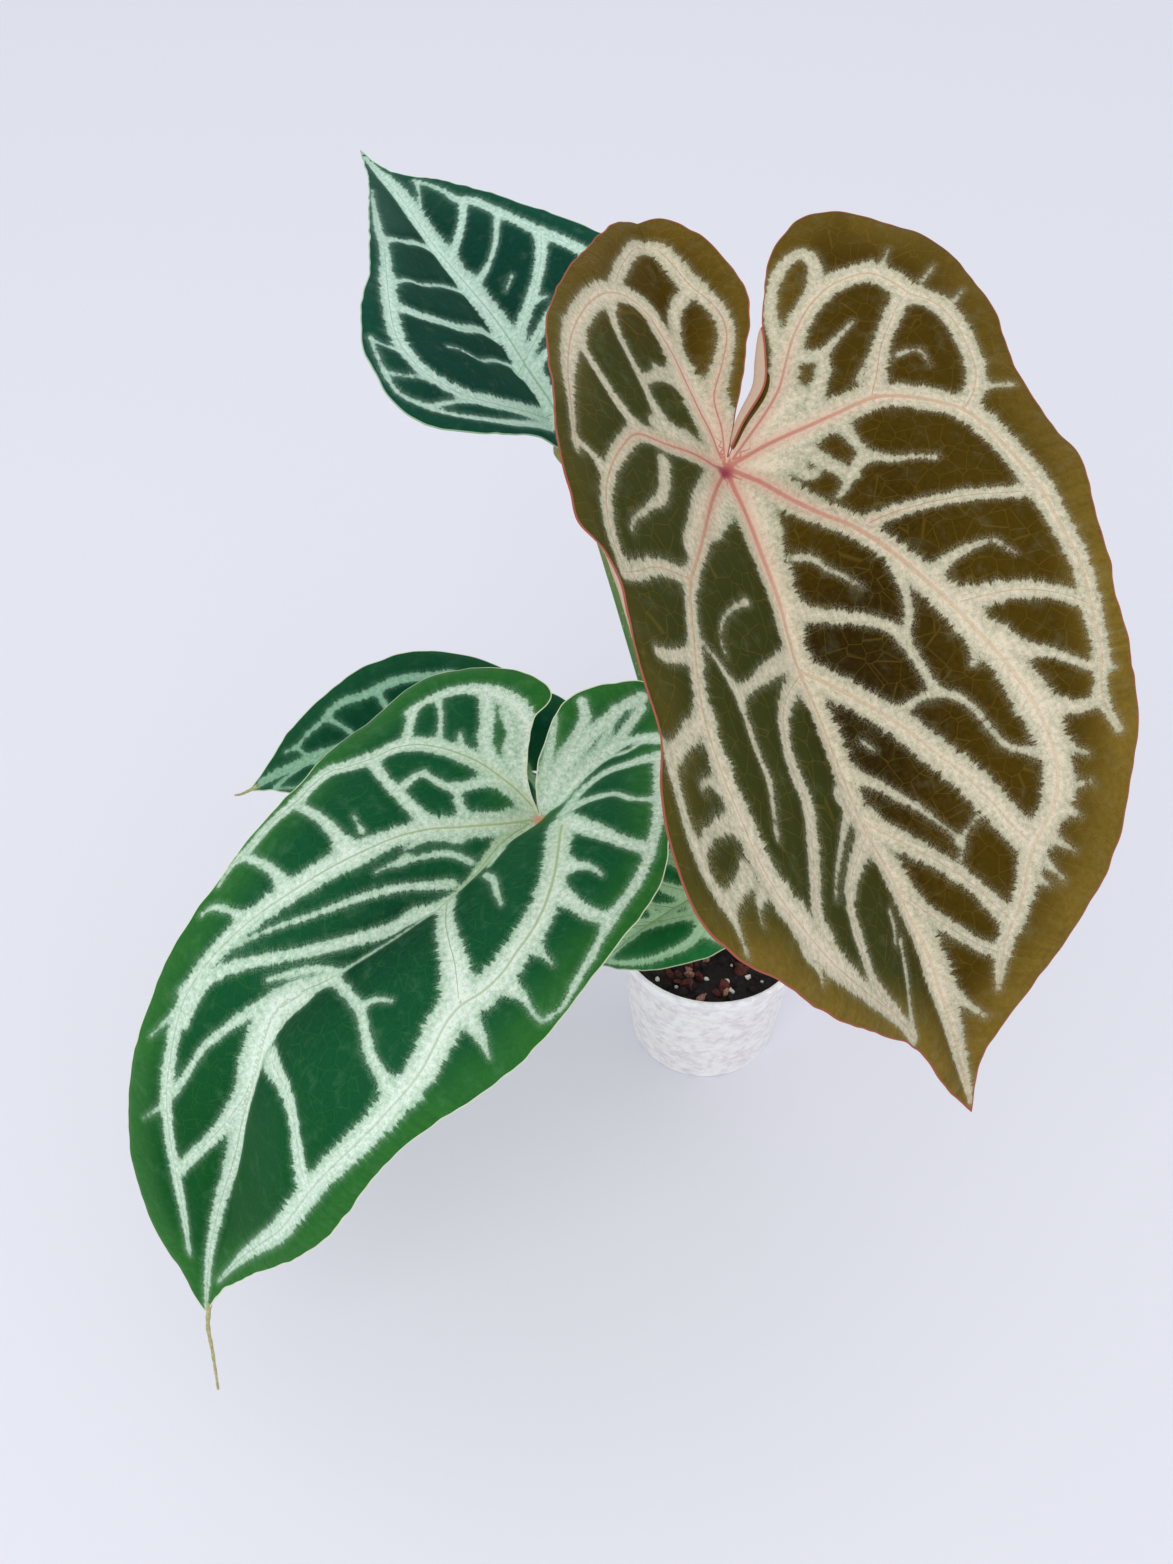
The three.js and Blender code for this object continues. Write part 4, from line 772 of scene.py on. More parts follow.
def mesh_object(name, points, triangles, fields=None):
    """A mesh object from points in millimetres, with attributes on its vertices."""
    mesh = bpy.data.meshes.new(name)
    mesh.vertices.add(len(points))
    mesh.vertices.foreach_set("co", (points * MM).astype(np.float32).ravel())
    mesh.loops.add(triangles.size)
    mesh.loops.foreach_set("vertex_index", triangles.astype(np.int32).ravel())
    mesh.polygons.add(len(triangles))
    mesh.polygons.foreach_set("loop_start", np.arange(0, triangles.size, triangles.shape[1], dtype=np.int32))
    mesh.update(calc_edges=True)
    mesh.validate()
    mesh.polygons.foreach_set("use_smooth", np.ones(len(mesh.polygons), bool))
    for key, values in (fields or {}).items():
        values = np.asarray(values, np.float32)
        kind, slot = ("FLOAT", "value") if values.ndim == 1 else ("FLOAT_VECTOR", "vector")
        if values.ndim == 2 and values.shape[1] == 2:
            values = np.column_stack([values, np.zeros(len(values), np.float32)])
        mesh.attributes.new(key, kind, "POINT").data.foreach_set(slot, values.ravel())
    made = bpy.data.objects.new(name, mesh)
    bpy.context.scene.collection.objects.link(made)
    return made


def vertex_normals(points, triangles):
    a, b, c = (points[triangles[:, k]] for k in range(3))
    facing = np.cross(b - a, c - a)
    normals = np.zeros_like(points)
    for k in range(3):
        np.add.at(normals, triangles[:, k], facing)
    return unit(normals)


def bent_blade(name):
    blade, leaf = BLADES[name], LEAVES[name]
    flat, triangles, rim, margin = flat_heart(blade)
    fields = vein_fields(flat, VEINS[name])
    s, t = flat[:, 0], flat[:, 1]
    size = blade.half_width / LEAVES["bronze"]["half_width"]
    middle = blade.point(s, t)
    up = vertex_normals(middle, triangles)
    quilt = (0.6 + 0.9 * size) * ease(fields["dip"] / (8 * size + 2)) * ease(margin / 6 + 0.2)
    sway = 0.35 * np.sin(s / 9.7 + 1.1 * np.sin(t / 13)) * np.sin(t / 11.3 + np.sin(s / 17))
    frill = 0.17 * size * (1 - ease(margin / 16)) * np.sin(s / 7.1 + t / 8.3 + np.sin(s / 11))
    top = middle + up * (quilt + (sway + frill) * size)[:, None]
    up = vertex_normals(top, triangles)
    thick = THICK_EDGE + (THICK_MIDDLE - THICK_EDGE) * ease(margin / 12)
    width = np.maximum(fields["rib"], 0.05)
    swell = 1.15 * width * np.exp(-(np.linalg.norm(fields["away"], axis=1) / (width * 1.15 + 0.35)) ** 2)
    under = top - up * (thick + swell * ease(margin / 3))[:, None]
    count = len(flat)
    here = np.arange(rim)
    ahead = (here + 1) % rim
    walls = np.vstack([np.stack([here, here + count, ahead + count], -1),
                       np.stack([here, ahead + count, ahead], -1)])
    if not turns_left(flat[:rim]):
        walls = walls[:, ::-1]
    faces = np.vstack([triangles, triangles[:, ::-1] + count, walls])
    doubled = {key: np.concatenate([value, value]) for key, value in fields.items()}
    doubled["margin"] = np.r_[margin, margin]
    doubled["upper"] = np.r_[np.ones(count), np.zeros(count)]
    doubled["flat"] = np.vstack([flat, flat])
    made = mesh_object(f"{name}_leaf", np.vstack([top, under]), faces, doubled)
    made.data.set_sharp_from_angle(angle=math.radians(60))
    print(f"{name} blade: {len(faces)} triangles")
    return made


blade_objects = {name: bent_blade(name) for name in LEAVES}

# %% [markdown]
# Where the stalk joins, the two lobes nearly touch, and the bronze leaf's right lobe has its inner
# margin curled up and back, so a strip of the pale underside shows. The curl is a narrow sheet that
# leaves the lobe's edge and turns through an arc.

# %% Curled margin beside the sinus
def curled_margin(name, path, outward_side, wide, high, turn):
    """A narrow two-sided sheet that leaves the margin along the path and turns back on itself."""
    blade = BLADES[name]
    line = spaced(curve_through(places(path)), 1.0)
    ahead = unit(np.gradient(line, axis=0))
    out = np.stack([-ahead[:, 1], ahead[:, 0]], -1) * outward_side
    share = np.linspace(0, 1, len(line))
    size = np.sin(np.pi * share) ** 0.6
    here = blade.point(line[:, 0], line[:, 1])
    beyond = unit(here - blade.point(*(line - out * 0.8).T))
    up = blade.normal(line[:, 0], line[:, 1])
    angles = np.radians(np.linspace(-25, turn, 18))
    sheets = []
    for lift in (0.0, -0.45):
        rows = []
        for angle in angles:
            back = 1.35 * (1 - math.sin(angle)) if angle > math.pi / 2 else 1 - math.sin(angle)
            reach = size * wide * (1 - back) + (0 if angle > 0 else -0.6)
            rise = size * high * (1 - math.cos(angle)) * (angle > 0)
            turned_up = up * math.cos(angle) - beyond * math.sin(angle)
            rows.append(here + beyond * reach[:, None] + up * rise[:, None] + turned_up * lift)
        sheets.append(np.array(rows))
    rows, count = len(angles), len(line)
    points = np.concatenate([sheet.reshape(-1, 3) for sheet in sheets])
    half = rows * count
    faces = []
    for r in range(rows - 1):
        for c in range(count - 1):
            a, b, d, e = r * count + c, r * count + c + 1, (r + 1) * count + c, (r + 1) * count + c + 1
            faces += [(a, b, e), (a, e, d), (a + half, e + half, b + half), (a + half, d + half, e + half)]
    ring = list(range(count)) + [r * count + count - 1 for r in range(1, rows)]
    ring += [(rows - 1) * count + c for c in range(count - 2, -1, -1)]
    ring += [r * count for r in range(rows - 2, 0, -1)]
    for a, b in zip(ring, ring[1:] + ring[:1]):
        faces += [(a, a + half, b + half), (a, b + half, b)]
    grown = np.repeat(np.linspace(0, 1, rows), count)
    arc = (1 - grown) * wide * 3.2 * np.tile(size, rows)
    inward = np.repeat(np.linspace(0, 6, rows), count)[:, None] * np.tile(out, (rows, 1))
    flat = np.tile(np.tile(line, (rows, 1)) + inward, (2, 1))
    off_veins = {"band": 4.0, "feather": 0.6, "rib": 0.0, "rib_edge": 9.0, "dip": 9.0}
    both = {key: np.full(half * 2, value) for key, value in off_veins.items()}
    both.update({"foot": flat, "flat": flat, "away": np.full((half * 2, 2), 9.0),
                 "margin": np.r_[arc, arc], "upper": np.r_[np.ones(half), np.zeros(half)]})
    made = mesh_object(f"{name}_curl", points, np.array(faces), both)
    fixed = bmesh.new()
    fixed.from_mesh(made.data)
    bmesh.ops.recalc_face_normals(fixed, faces=fixed.faces)
    fixed.to_mesh(made.data)
    fixed.free()
    made.data.set_sharp_from_angle(angle=math.radians(60))
    return made


curls = {"bronze": curled_margin("bronze", "-8,5 -15,10.5 -26,21.5 -38,26 -52,30", 1, 3.4, 1.1, 180)}
print("curled margin", len(curls["bronze"].data.polygons), "faces")

# %% [markdown]
# ## Small tools for finishes
# A finish is a tree of small sums. A few operators let a finish be written as the sum it is, and one
# method adds every other kind of node, with its settings and its values.

# %% Finish tools
class Signal:
    """The output of one shader node, which takes part in sums."""

    def __init__(self, finish, socket):
        self.finish, self.socket = finish, socket

    def math(self, operation, *others):
        return self.finish.node("ShaderNodeMath", {"operation": operation},
                                dict(enumerate((self,) + others)))

    def __add__(self, other):
        return self.math("ADD", other)

    def __sub__(self, other):
        return self.math("SUBTRACT", other)

    def __mul__(self, other):
        return self.math("MULTIPLY", other)

    def __truediv__(self, other):
        return self.math("DIVIDE", other)

    def __rsub__(self, other):
        return self.finish.node("ShaderNodeMath", {"operation": "SUBTRACT"}, {0: other, 1: self})

    __radd__, __rmul__ = __add__, __mul__

    def at_most(self, other):
        return self.math("MINIMUM", other)

    def at_least(self, other):
        return self.math("MAXIMUM", other)

    def as_share(self):
        """Kept between 0 and 1."""
        return self.at_least(0.0).at_most(1.0)

    def stretch(self, low, high):
        """0 at low, 1 at high, with soft ends."""
        return self.finish.node("ShaderNodeMapRange", {"interpolation_type": "SMOOTHSTEP"},
                                {"Value": self, "From Min": low, "From Max": high})


class Finish:
    """A material whose nodes are added one by one."""

    def __init__(self, name):
        self.material = bpy.data.materials.new(name)
        self.material.use_nodes = True
        self.tree = self.material.node_tree
        self.tree.nodes.clear()

    def node(self, kind, settings=None, values=None, output=0):
        node = self.tree.nodes.new(kind)
        for key, value in (settings or {}).items():
            setattr(node, key, value)
        for key, value in (values or {}).items():
            if isinstance(value, Signal):
                self.tree.links.new(value.socket, node.inputs[key])
            else:
                node.inputs[key].default_value = value
        return Signal(self, node.outputs[output]) if len(node.outputs) else None

    def field(self, name):
        return self.node("ShaderNodeAttribute", {"attribute_name": name}, output="Fac")

    def vector_field(self, name):
        return self.node("ShaderNodeAttribute", {"attribute_name": name}, output="Vector")

    def place(self):
        return self.node("ShaderNodeTexCoord", output="Object")

    def stretched(self, vector, scale):
        return self.node("ShaderNodeVectorMath", {"operation": "MULTIPLY"}, {0: vector, 1: scale})

    def length(self, vector):
        return self.node("ShaderNodeVectorMath", {"operation": "LENGTH"}, {0: vector}, output="Value")

    def noise(self, vector, scale, detail=2.0, roughness=0.5):
        return self.node("ShaderNodeTexNoise", {}, {"Vector": vector, "Scale": scale, "Detail": detail,
                                                    "Roughness": roughness})

    def cells(self, vector, scale, feature="F1"):
        return self.node("ShaderNodeTexVoronoi", {"feature": feature}, {"Vector": vector, "Scale": scale},
                         output="Distance")

    def blend(self, first, second, share):
        return self.node("ShaderNodeMix", {"data_type": "RGBA"}, {0: share, 6: first, 7: second}, 2)

    def bump(self, height, strength, distance):
        return self.node("ShaderNodeBump", {}, {"Height": height, "Strength": strength,
                                                "Distance": distance})

    def surface(self, values):
        shader = self.node("ShaderNodeBsdfPrincipled", {}, values)
        self.node("ShaderNodeOutputMaterial", {}, {"Surface": shader})
        return self.material


def colour(text):
    """Linear colour from the six-digit screen colour."""
    levels = [int(text[i:i + 2], 16) / 255 for i in (0, 2, 4)]
    return tuple(v / 12.92 if v <= 0.04045 else ((v + 0.055) / 1.055) ** 2.4 for v in levels) + (1.0,)

# %% [markdown]
# ## Leaf finish
# The silver on such a leaf isn't a line with a clean edge. Air lies under the skin along the veins,
# and its patches end in fine points that run away from the vein. Here the band's edge is moved by a
# noise that only changes along the vein, so every place along it gets its own long or short point.
# Fine cells show between the veins, the rib is a thin line in the band's middle, and the margin has
# its own thin edge.

# %% Leaf finish
BLACK = (0.0, 0.0, 0.0, 1.0)
DUST, HEART, GLOSS = 0.4, 5.0, 0.42


def leaf_finish(name, tints, shade_from, rim_from=None, shine=0.03, fill=1.6):
    """tints: inner, middle, rim, shade, silver, core, heart, young rib, old rib, edge, below, vein below."""
    (inner, middle, rim, shade, silver, core, joint, rib_young, rib_old, edge, below,
     vein_below) = map(colour, tints)
    f = Finish(name)
    flat, band, foot = f.vector_field("flat"), f.field("band"), f.vector_field("foot")
    margin, upper = f.field("margin"), f.field("upper").stretch(0.4, 0.6)
    along = f.node("ShaderNodeSeparateXYZ", {}, {0: flat}, "X")
    across = f.node("ShaderNodeSeparateXYZ", {}, {0: flat}, "Y")
    from_stalk = f.length(flat)

    mottle = f.noise(flat, 0.13, 3.0, 0.6)
    grain = f.noise(flat, 1.9, 2.0, 0.7)
    blotch = f.noise(flat, 0.5, 3.0, 0.65)
    streak = f.noise(foot, 0.33, 2.0, 0.6)
    network = 1.0 - f.cells(flat, 0.15, "DISTANCE_TO_EDGE").stretch(0.0, 0.035)
    pores = f.noise(flat, 4.5, 1.0, 0.5)
    panel = f.blend(middle, inner, (margin.stretch(35.0, 95.0) + blotch * 1.6 - 0.8).as_share())
    panel = f.blend(panel, shade, shade_from(along, across, mottle))
    rim_share = (1.0 - margin.stretch(2.0, 24.0)) * (streak * 0.9 + blotch * 0.9 - 0.15)
    rim_share = rim_share.as_share()
    panel = f.blend(panel, rim, rim_share * rim_from(along, across) if rim_from else rim_share)
    panel = f.blend(panel, rim, network * (blotch * 0.5))
    # Painted sheen: cloudy patches of each panel are lightened a little toward the core colour, standing in
    # for soft highlights on the panels.
    panel = f.blend(panel, core, mottle.stretch(0.5, 0.8) * 0.12)
    panel = f.blend(panel, BLACK, pores.stretch(0.4, 0.75) * 0.22 + grain.stretch(0.5, 0.8) * 0.2)

    points = (f.noise(foot, 0.42, 3.0, 0.7) - 0.5) * 3.8 + (f.noise(foot, 1.9, 1.0, 0.5) - 0.5) * 1.2
    ragged = band + points * f.field("feather") + (grain - 0.5) * 2.0 + (blotch - 0.5) * 2.6
    ragged = ragged - (1.0 - from_stalk.stretch(10.0, 70.0)) * fill
    cover = (1.0 - ragged.stretch(-0.45, 0.35)) * (1.0 - grain.stretch(0.5, 0.75) * 0.3)
    dusted = (1.0 - ragged.stretch(-0.5, 3.2)) * grain.stretch(0.45, 0.58) * DUST
    silvered = cover.at_least(dusted)
    bright = f.blend(core, silver, (grain * 1.6 + blotch * 1.7 - band * 0.1 - 1.25).as_share())
    near_rib = 1.0 - f.field("rib_edge").stretch(-0.2, 4.5)
    bright = f.blend(bright, rib_young, (1.0 - from_stalk.stretch(3.0, 90.0)) * near_rib * 0.4)
    top = f.blend(panel, bright, silvered)

    rib_line = 1.0 - (f.length(f.vector_field("away")) / f.field("rib").at_least(0.05)).stretch(0.3, 1.15)
    rib_line = rib_line * f.field("rib").stretch(0.02, 0.12) * (1.0 - f.field("rib_edge").stretch(1.6, 2.4))
    rib_tint = f.blend(rib_young, rib_old, from_stalk.stretch(6.0, 110.0))
    top = f.blend(top, rib_tint, rib_line * (0.8 - from_stalk.stretch(10.0, 160.0) * 0.45))
    top = f.blend(top, joint, (1.0 - from_stalk.stretch(0.5, HEART)) * 0.9)
    edge_line = 1.0 - margin.stretch(0.3, 0.6)
    top = f.blend(top, edge, edge_line)

    back = f.blend(below, vein_below, (1.0 - band.stretch(-2.0, 1.0)) * 0.6 + mottle * 0.3)
    back = f.blend(back, panel, 0.22)
    back = f.blend(f.blend(back, rib_young, rib_line * 0.4), edge, edge_line)
    relief = cover * 0.12 + rib_line * 0.4 + pores * 0.06 + network * -0.15 + grain * 0.08 + blotch * 0.25
    return f.surface({"Base Color": f.blend(back, top, upper), "Specular IOR Level": shine,
                      "Roughness": cover * 0.1 + mottle * 0.16 + GLOSS,
                      "Normal": f.bump(relief, 0.7, 0.0007)})


def bronze_shade(along, across, mottle):
    left = (across * -1.0).stretch(-4.0, 16.0) * (along + mottle * 40.0 - 20.0).stretch(-80.0, -30.0)
    return left * 0.9


def bronze_rim(along, across):
    """The rolled strip of the left margin keeps the panels' own green."""
    beyond = (across * -1.0).stretch(50.0, 66.0)
    rolled = beyond * along.stretch(-25.0, 5.0) * (1.0 - along.stretch(125.0, 150.0))
    return (1.0 - rolled * 0.75) * (along.stretch(-30.0, 110.0) * 0.5 + 0.5)


def green_shade(along, across, mottle):
    return (along + mottle * 60.0 - 30.0).stretch(90.0, 230.0) * 0.85


def no_shade(along, across, mottle):
    return mottle.stretch(0.4, 0.7) * 0.5


leaf_materials = {
    "bronze": leaf_finish("olive-bronze leaf", (
        "2d2002", "4b3906", "846c2a", "3a401a", "e6d8c0", "8f977a", "8e2f48", "bd6f62", "c7a680",
        "a45a4a", "dcc4ae", "c98f80"), bronze_shade, bronze_rim),
    "green": leaf_finish("green leaf", (
        "053c26", "0f5430", "33752e", "06501a", "e8f6e8", "7db087", "cf8f70", "9cb678", "86a868",
        "d3dfbc", "94ad8c", "b0c49c"), green_shade, shine=0.06, fill=1.2),
    "dark": leaf_finish("dark green leaf", (
        "021c15", "0e4334", "174f3d", "072c20", "e2f8ec", "86b59b", "86b08e", "86b08e", "8fbf9c",
        "9fbf9a", "84a48c", "9cb898"), no_shade, fill=0.6),
    "low": leaf_finish("blue-green leaf", (
        "002c1a", "06402a", "1c5534", "0a4a2a", "a4ccb0", "64977a", "7c9f62", "7c9f62", "7c9f62",
        "a8bf90", "84a484", "9cb48c"), no_shade, fill=0.5),
    "small": leaf_finish("young green leaf", (
        "034522", "0e5f2e", "2a7a40", "0a5a2a", "ccf0cc", "94c496", "86ab66", "86ab66", "7c9f62",
        "b8c8a0", "88a684", "9cb894"), no_shade, fill=0.0),
}
for name, material in leaf_materials.items():
    blade_objects[name].data.materials.append(material)
    if name in curls:
        curls[name].data.materials.append(material)

# %% [markdown]
# ## Stalks
# Every leaf stands on a long round stalk that swells into a knuckle just under the blade. A stalk
# follows a path, so Geometry Nodes sweep a ring along it; the ring's size is kept at every point of
# the path. The same tree sweeps the dried thread at the tip of an old leaf.

# %% Sweeping tree
def new_tree(name, inputs):
    tree = bpy.data.node_groups.new(name, "GeometryNodeTree")
    tree.interface.new_socket("Geometry", in_out="INPUT", socket_type="NodeSocketGeometry")
    sockets = {}
    for label, (kind, value) in inputs.items():
        socket = tree.interface.new_socket(label, in_out="INPUT", socket_type=kind)
        if kind != "NodeSocketMaterial":
            socket.default_value = value
        sockets[label] = socket.identifier
    tree.interface.new_socket("Geometry", in_out="OUTPUT", socket_type="NodeSocketGeometry")
    return tree, sockets


class Layout:
    """Adds nodes to a geometry tree and links them."""

    def __init__(self, tree):
        self.tree = tree
        self.start = tree.nodes.new("NodeGroupInput")
        self.end = tree.nodes.new("NodeGroupOutput")

    def add(self, kind, settings=None, values=None):
        node = self.tree.nodes.new(kind)
        for key, value in (settings or {}).items():
            setattr(node, key, value)
        for key, value in (values or {}).items():
            if isinstance(value, bpy.types.NodeSocket):
                self.tree.links.new(value, node.inputs[key])
            else:
                node.inputs[key].default_value = value
        return node

    def give(self, geometry):
        self.tree.links.new(geometry, self.end.inputs[0])


sweep_tree, sweep_inputs = new_tree("sweep a ring along a path", {
    "Sides": ("NodeSocketInt", 20), "Skin": ("NodeSocketMaterial", None)})
lay = Layout(sweep_tree)
path_curve = lay.add("GeometryNodeMeshToCurve", values={"Mesh": lay.start.outputs[0]})
thickness = lay.add("GeometryNodeInputNamedAttribute", {"data_type": "FLOAT"}, {"Name": "thickness"})
sized = lay.add("GeometryNodeSetCurveRadius", values={"Curve": path_curve.outputs[0],
                                                      "Radius": thickness.outputs[0]})
ring = lay.add("GeometryNodeCurvePrimitiveCircle", values={"Resolution": lay.start.outputs["Sides"],
                                                           "Radius": 1.0})
tube = lay.add("GeometryNodeCurveToMesh", values={"Curve": sized.outputs[0],
                                                  "Profile Curve": ring.outputs[0], "Fill Caps": True})
if "Scale" in tube.inputs:
    sweep_tree.links.new(thickness.outputs[0], tube.inputs["Scale"])
smooth = lay.add("GeometryNodeSetShadeSmooth", values={"Geometry": tube.outputs[0]})
real = lay.add("GeometryNodeRealizeInstances", values={"Geometry": smooth.outputs[0]})
skin = lay.add("GeometryNodeSetMaterial", values={"Geometry": real.outputs[0],
                                                  "Material": lay.start.outputs["Skin"]})
lay.give(skin.outputs[0])


def baked(source, tree, inputs, values, name):
    """The plain mesh that a geometry tree makes from the source object."""
    modifier = source.modifiers.new("shape", "NODES")
    modifier.node_group = tree
    for label, value in values.items():
        modifier[inputs[label]] = value
    graph = bpy.context.evaluated_depsgraph_get()
    mesh = bpy.data.meshes.new_from_object(source.evaluated_get(graph))
    mesh.name = name
    made = bpy.data.objects.new(name, mesh)
    bpy.context.scene.collection.objects.link(made)
    bpy.data.objects.remove(source)
    return made


def swept(name, path, radii, material, sides=20, extra=None):
    """A tube along a path in millimetres."""
    mesh = bpy.data.meshes.new(name)
    mesh.from_pydata([tuple(p * MM) for p in path], [(i, i + 1) for i in range(len(path) - 1)], [])
    mesh.attributes.new("thickness", "FLOAT", "POINT").data.foreach_set(
        "value", np.asarray(radii, np.float32) * MM)
    for key, values in (extra or {}).items():
        mesh.attributes.new(key, "FLOAT", "POINT").data.foreach_set("value", np.asarray(values, np.float32))
    source = bpy.data.objects.new(name, mesh)
    bpy.context.scene.collection.objects.link(source)
    return baked(source, sweep_tree, sweep_inputs, {"Sides": sides, "Skin": material}, name)

# %% [markdown]
# A stalk's skin is green with fine lengthwise streaks and pale breathing spots. On a young bronze
# leaf it is flushed with red, most of all at the knuckle.

# %% Stalk finish
def stalk_finish(name, green, flush, spots):
    f = Finish(name)
    where = f.place()
    left = f.field("left")
    streak = f.noise(f.stretched(where, (1.0, 1.0, 0.06)), 900.0, 2.0, 0.6)
    patch = f.noise(where, 60.0, 2.0, 0.5)
    skin = f.blend(colour(green), colour(flush), (1.0 - left.stretch(4.0, 110.0)) * 0.9 + patch * 0.3 - 0.1)
    skin = f.blend(skin, colour(spots), streak.stretch(0.55, 0.8) * 0.5)
    freckle = 1.0 - f.cells(f.stretched(where, (1.0, 1.0, 0.5)), 420.0).stretch(0.12, 0.2)
    skin = f.blend(skin, colour(spots), freckle * 0.6)
    return f.surface({"Base Color": skin, "Roughness": 0.42 + streak * 0.15,
                      "Normal": f.bump(streak + freckle, 0.35, 0.0002)})


def speckled(name, noise, tones, reach, rough, strength, depth):
    """One noise shades the surface from a dark to a light tone and roughens it."""
    f = Finish(name)
    speck = f.noise(f.place(), *noise)
    tone = f.blend(colour(tones[0]), colour(tones[1]), speck.stretch(*reach))
    return f.surface({"Base Color": tone, "Roughness": rough, "Normal": f.bump(speck, strength, depth)})


stalk_materials = {
    "bronze": stalk_finish("young stalk skin", "6d7a3c", "9c4a4a", "b9a87e"),
    "green": stalk_finish("green stalk skin", "4f7a3c", "86904e", "9db07c"),
}
dried_material = speckled("dried tip", (700.0, 3.0, 0.6), ("8f9a62", "c3b283"), (0.3, 0.7), 0.8, 0.6, 0.0002)

# %% Stalks joined with their blades
STEM_RADIUS = 5.6


def joined(name, parts):
    for part in bpy.context.selected_objects:
        part.select_set(False)
    for part in parts:
        part.select_set(True)
    bpy.context.view_layer.objects.active = parts[0]
    bpy.ops.object.join()
    parts[0].name = parts[0].data.name = name
    return parts[0]


def stalk_of(name):
    azimuth, radius, path = LEAVES[name]["stalk"]
    blade = BLADES[name]
    angle = math.radians(azimuth)
    reach = STEM_RADIUS + radius + 0.35
    root = np.array([math.cos(angle), math.sin(angle), 0]) * reach
    joint, up = blade.point(0, 0), blade.normal(np.array([0.0]), np.array([0.0]))[0]
    knots = [root + (0, 0, 60), root + (0, 0, 73), root + (0, 0, 86)] + [np.array(p, float) for p in path]
    knots += [joint - LEAVES[name].get("knee", 9) * up, joint - 0.1 * up]
    line = spaced(curve_through(knots, 24), 2.2)
    steps = np.r_[0, np.cumsum(np.linalg.norm(np.diff(line, axis=0), axis=1))]
    left = steps[-1] - steps
    radii = radius * (1 + 0.35 * np.exp(-(left / 14) ** 2)) * (1 + 0.02 * np.sin(steps / 6))
    radii = radii * np.where(left < 3, 0.6 + 0.4 * ease(left / 3), 1)
    material = stalk_materials["bronze" if name == "bronze" else "green"]
    return swept(f"{name}_stalk", line, radii, material, 18, {"left": left})


pieces = {}
for name, leaf in LEAVES.items():
    parts = [blade_objects[name], stalk_of(name)] + ([curls[name]] if name in curls else [])
    if "dried_tip" in leaf:
        start = BLADES[name].point(BLADES[name].length - 7, 0)
        thread = spaced(curve_through([start] + [np.array(p, float) for p in leaf["dried_tip"]], 16), 1.2)
        share = np.linspace(0, 1, len(thread))
        size = (1.1 - 0.6 * share) * (1 + 0.12 * np.sin(share * 41))
        parts.append(swept(f"{name}_dried_tip", thread, size, dried_material, 10))
    pieces[name] = joined(f"{name}_leaf", parts)
    print(pieces[name].name, len(pieces[name].data.polygons), "faces")

# %% [markdown]
# ## Stem
# The stalks leave a short stem that carries the rings of older leaves' scars. It is swept along an
# upright path whose ring size swells at each scar.

# %% Stem
STEM_FROM, STEM_TO, STEM_RINGS = 52, 93, 5
f = Finish("stem skin")
where = f.place()
bark = f.noise(f.stretched(where, (1.0, 1.0, 4.0)), 220.0, 4.0, 0.6)
fibre = f.noise(f.stretched(where, (1.0, 1.0, 0.08)), 1100.0, 2.0, 0.6)
stem_material = f.surface({
    "Base Color": f.blend(f.blend(colour("5d5a2e"), colour("7d6a44"), bark.stretch(0.35, 0.65)),
                          colour("3d2c1c"), fibre.stretch(0.5, 0.75) * 0.6),
    "Roughness": 0.7, "Normal": f.bump(bark + fibre, 0.6, 0.0005)})
heights = np.arange(STEM_FROM, STEM_TO + 0.4, 0.8)
ring_place = (heights - STEM_FROM) / (STEM_TO - STEM_FROM) * STEM_RINGS
stem_size = STEM_RADIUS - 0.45 + 0.45 * np.abs(np.cos(np.pi * ring_place)) ** 6
stem_size[-4:] *= [0.97, 0.9, 0.75, 0.45]
stem_path = np.stack([0.3 * np.sin(heights / 9), 0.3 * np.cos(heights / 7), heights], -1)
pieces["stem"] = swept("ringed_stem", stem_path, stem_size, stem_material, 40)
print("stem", len(pieces["stem"].data.polygons), "faces")

# %% [markdown]
# ## Pot
# The pot is a moulded cup with a thin tapered wall, a rolled lip and six drain holes in its floor. It
# is round, so its section is turned about the axis; the holes are cut by a Boolean, as they are
# holes through a solid wall. The plastic is frosted: what shows is a pale grey with cloudy blotches
# of the wet bark behind it.

# %% Pot
POT_HEIGHT, RIM_RADIUS, BASE_RADIUS, WALL = 82, 52, 41, 1.4
LIP_WIDTH, LIP_DEPTH, FLOOR_TOP = 2.4, 5, 2
DRAIN_COUNT, DRAIN_RADIUS, DRAIN_CIRCLE = 6, 3, 28


def inner_radius(z):
    foot, top = BASE_RADIUS - WALL, RIM_RADIUS - LIP_WIDTH - WALL / 2
    return foot + (top - foot) * (z - FLOOR_TOP) / (POT_HEIGHT - FLOOR_TOP)


def closed_skin(rings, foot, head):
    """Points and triangles of a closed body, from its rings and the middles of its two ends."""
    sides, faces = len(rings[0]), []
    for k in range(len(rings) - 1):
        for i in range(sides):
            j = (i + 1) % sides
            a, b, c, d = k * sides + i, k * sides + j, (k + 1) * sides + j, (k + 1) * sides + i
            faces += [(a, b, c), (a, c, d)]
    first, end = len(rings) * sides, (len(rings) - 1) * sides
    for i in range(sides):
        j = (i + 1) % sides
        faces += [(first, j, i), (first + 1, end + i, end + j)]
    return np.vstack([np.reshape(rings, (-1, 3)), [foot, head]]), np.array(faces)


def turned(name, section, sides):
    """A closed solid of revolution; the section starts and ends on the axis."""
    angles = np.arange(sides) / sides * 2 * np.pi
    rings = [[(r * math.cos(a), r * math.sin(a), z) for a in angles] for r, z in section[1:-1]]
    return mesh_object(name, *closed_skin(rings, (0, 0, section[0][1]), (0, 0, section[-1][1])))


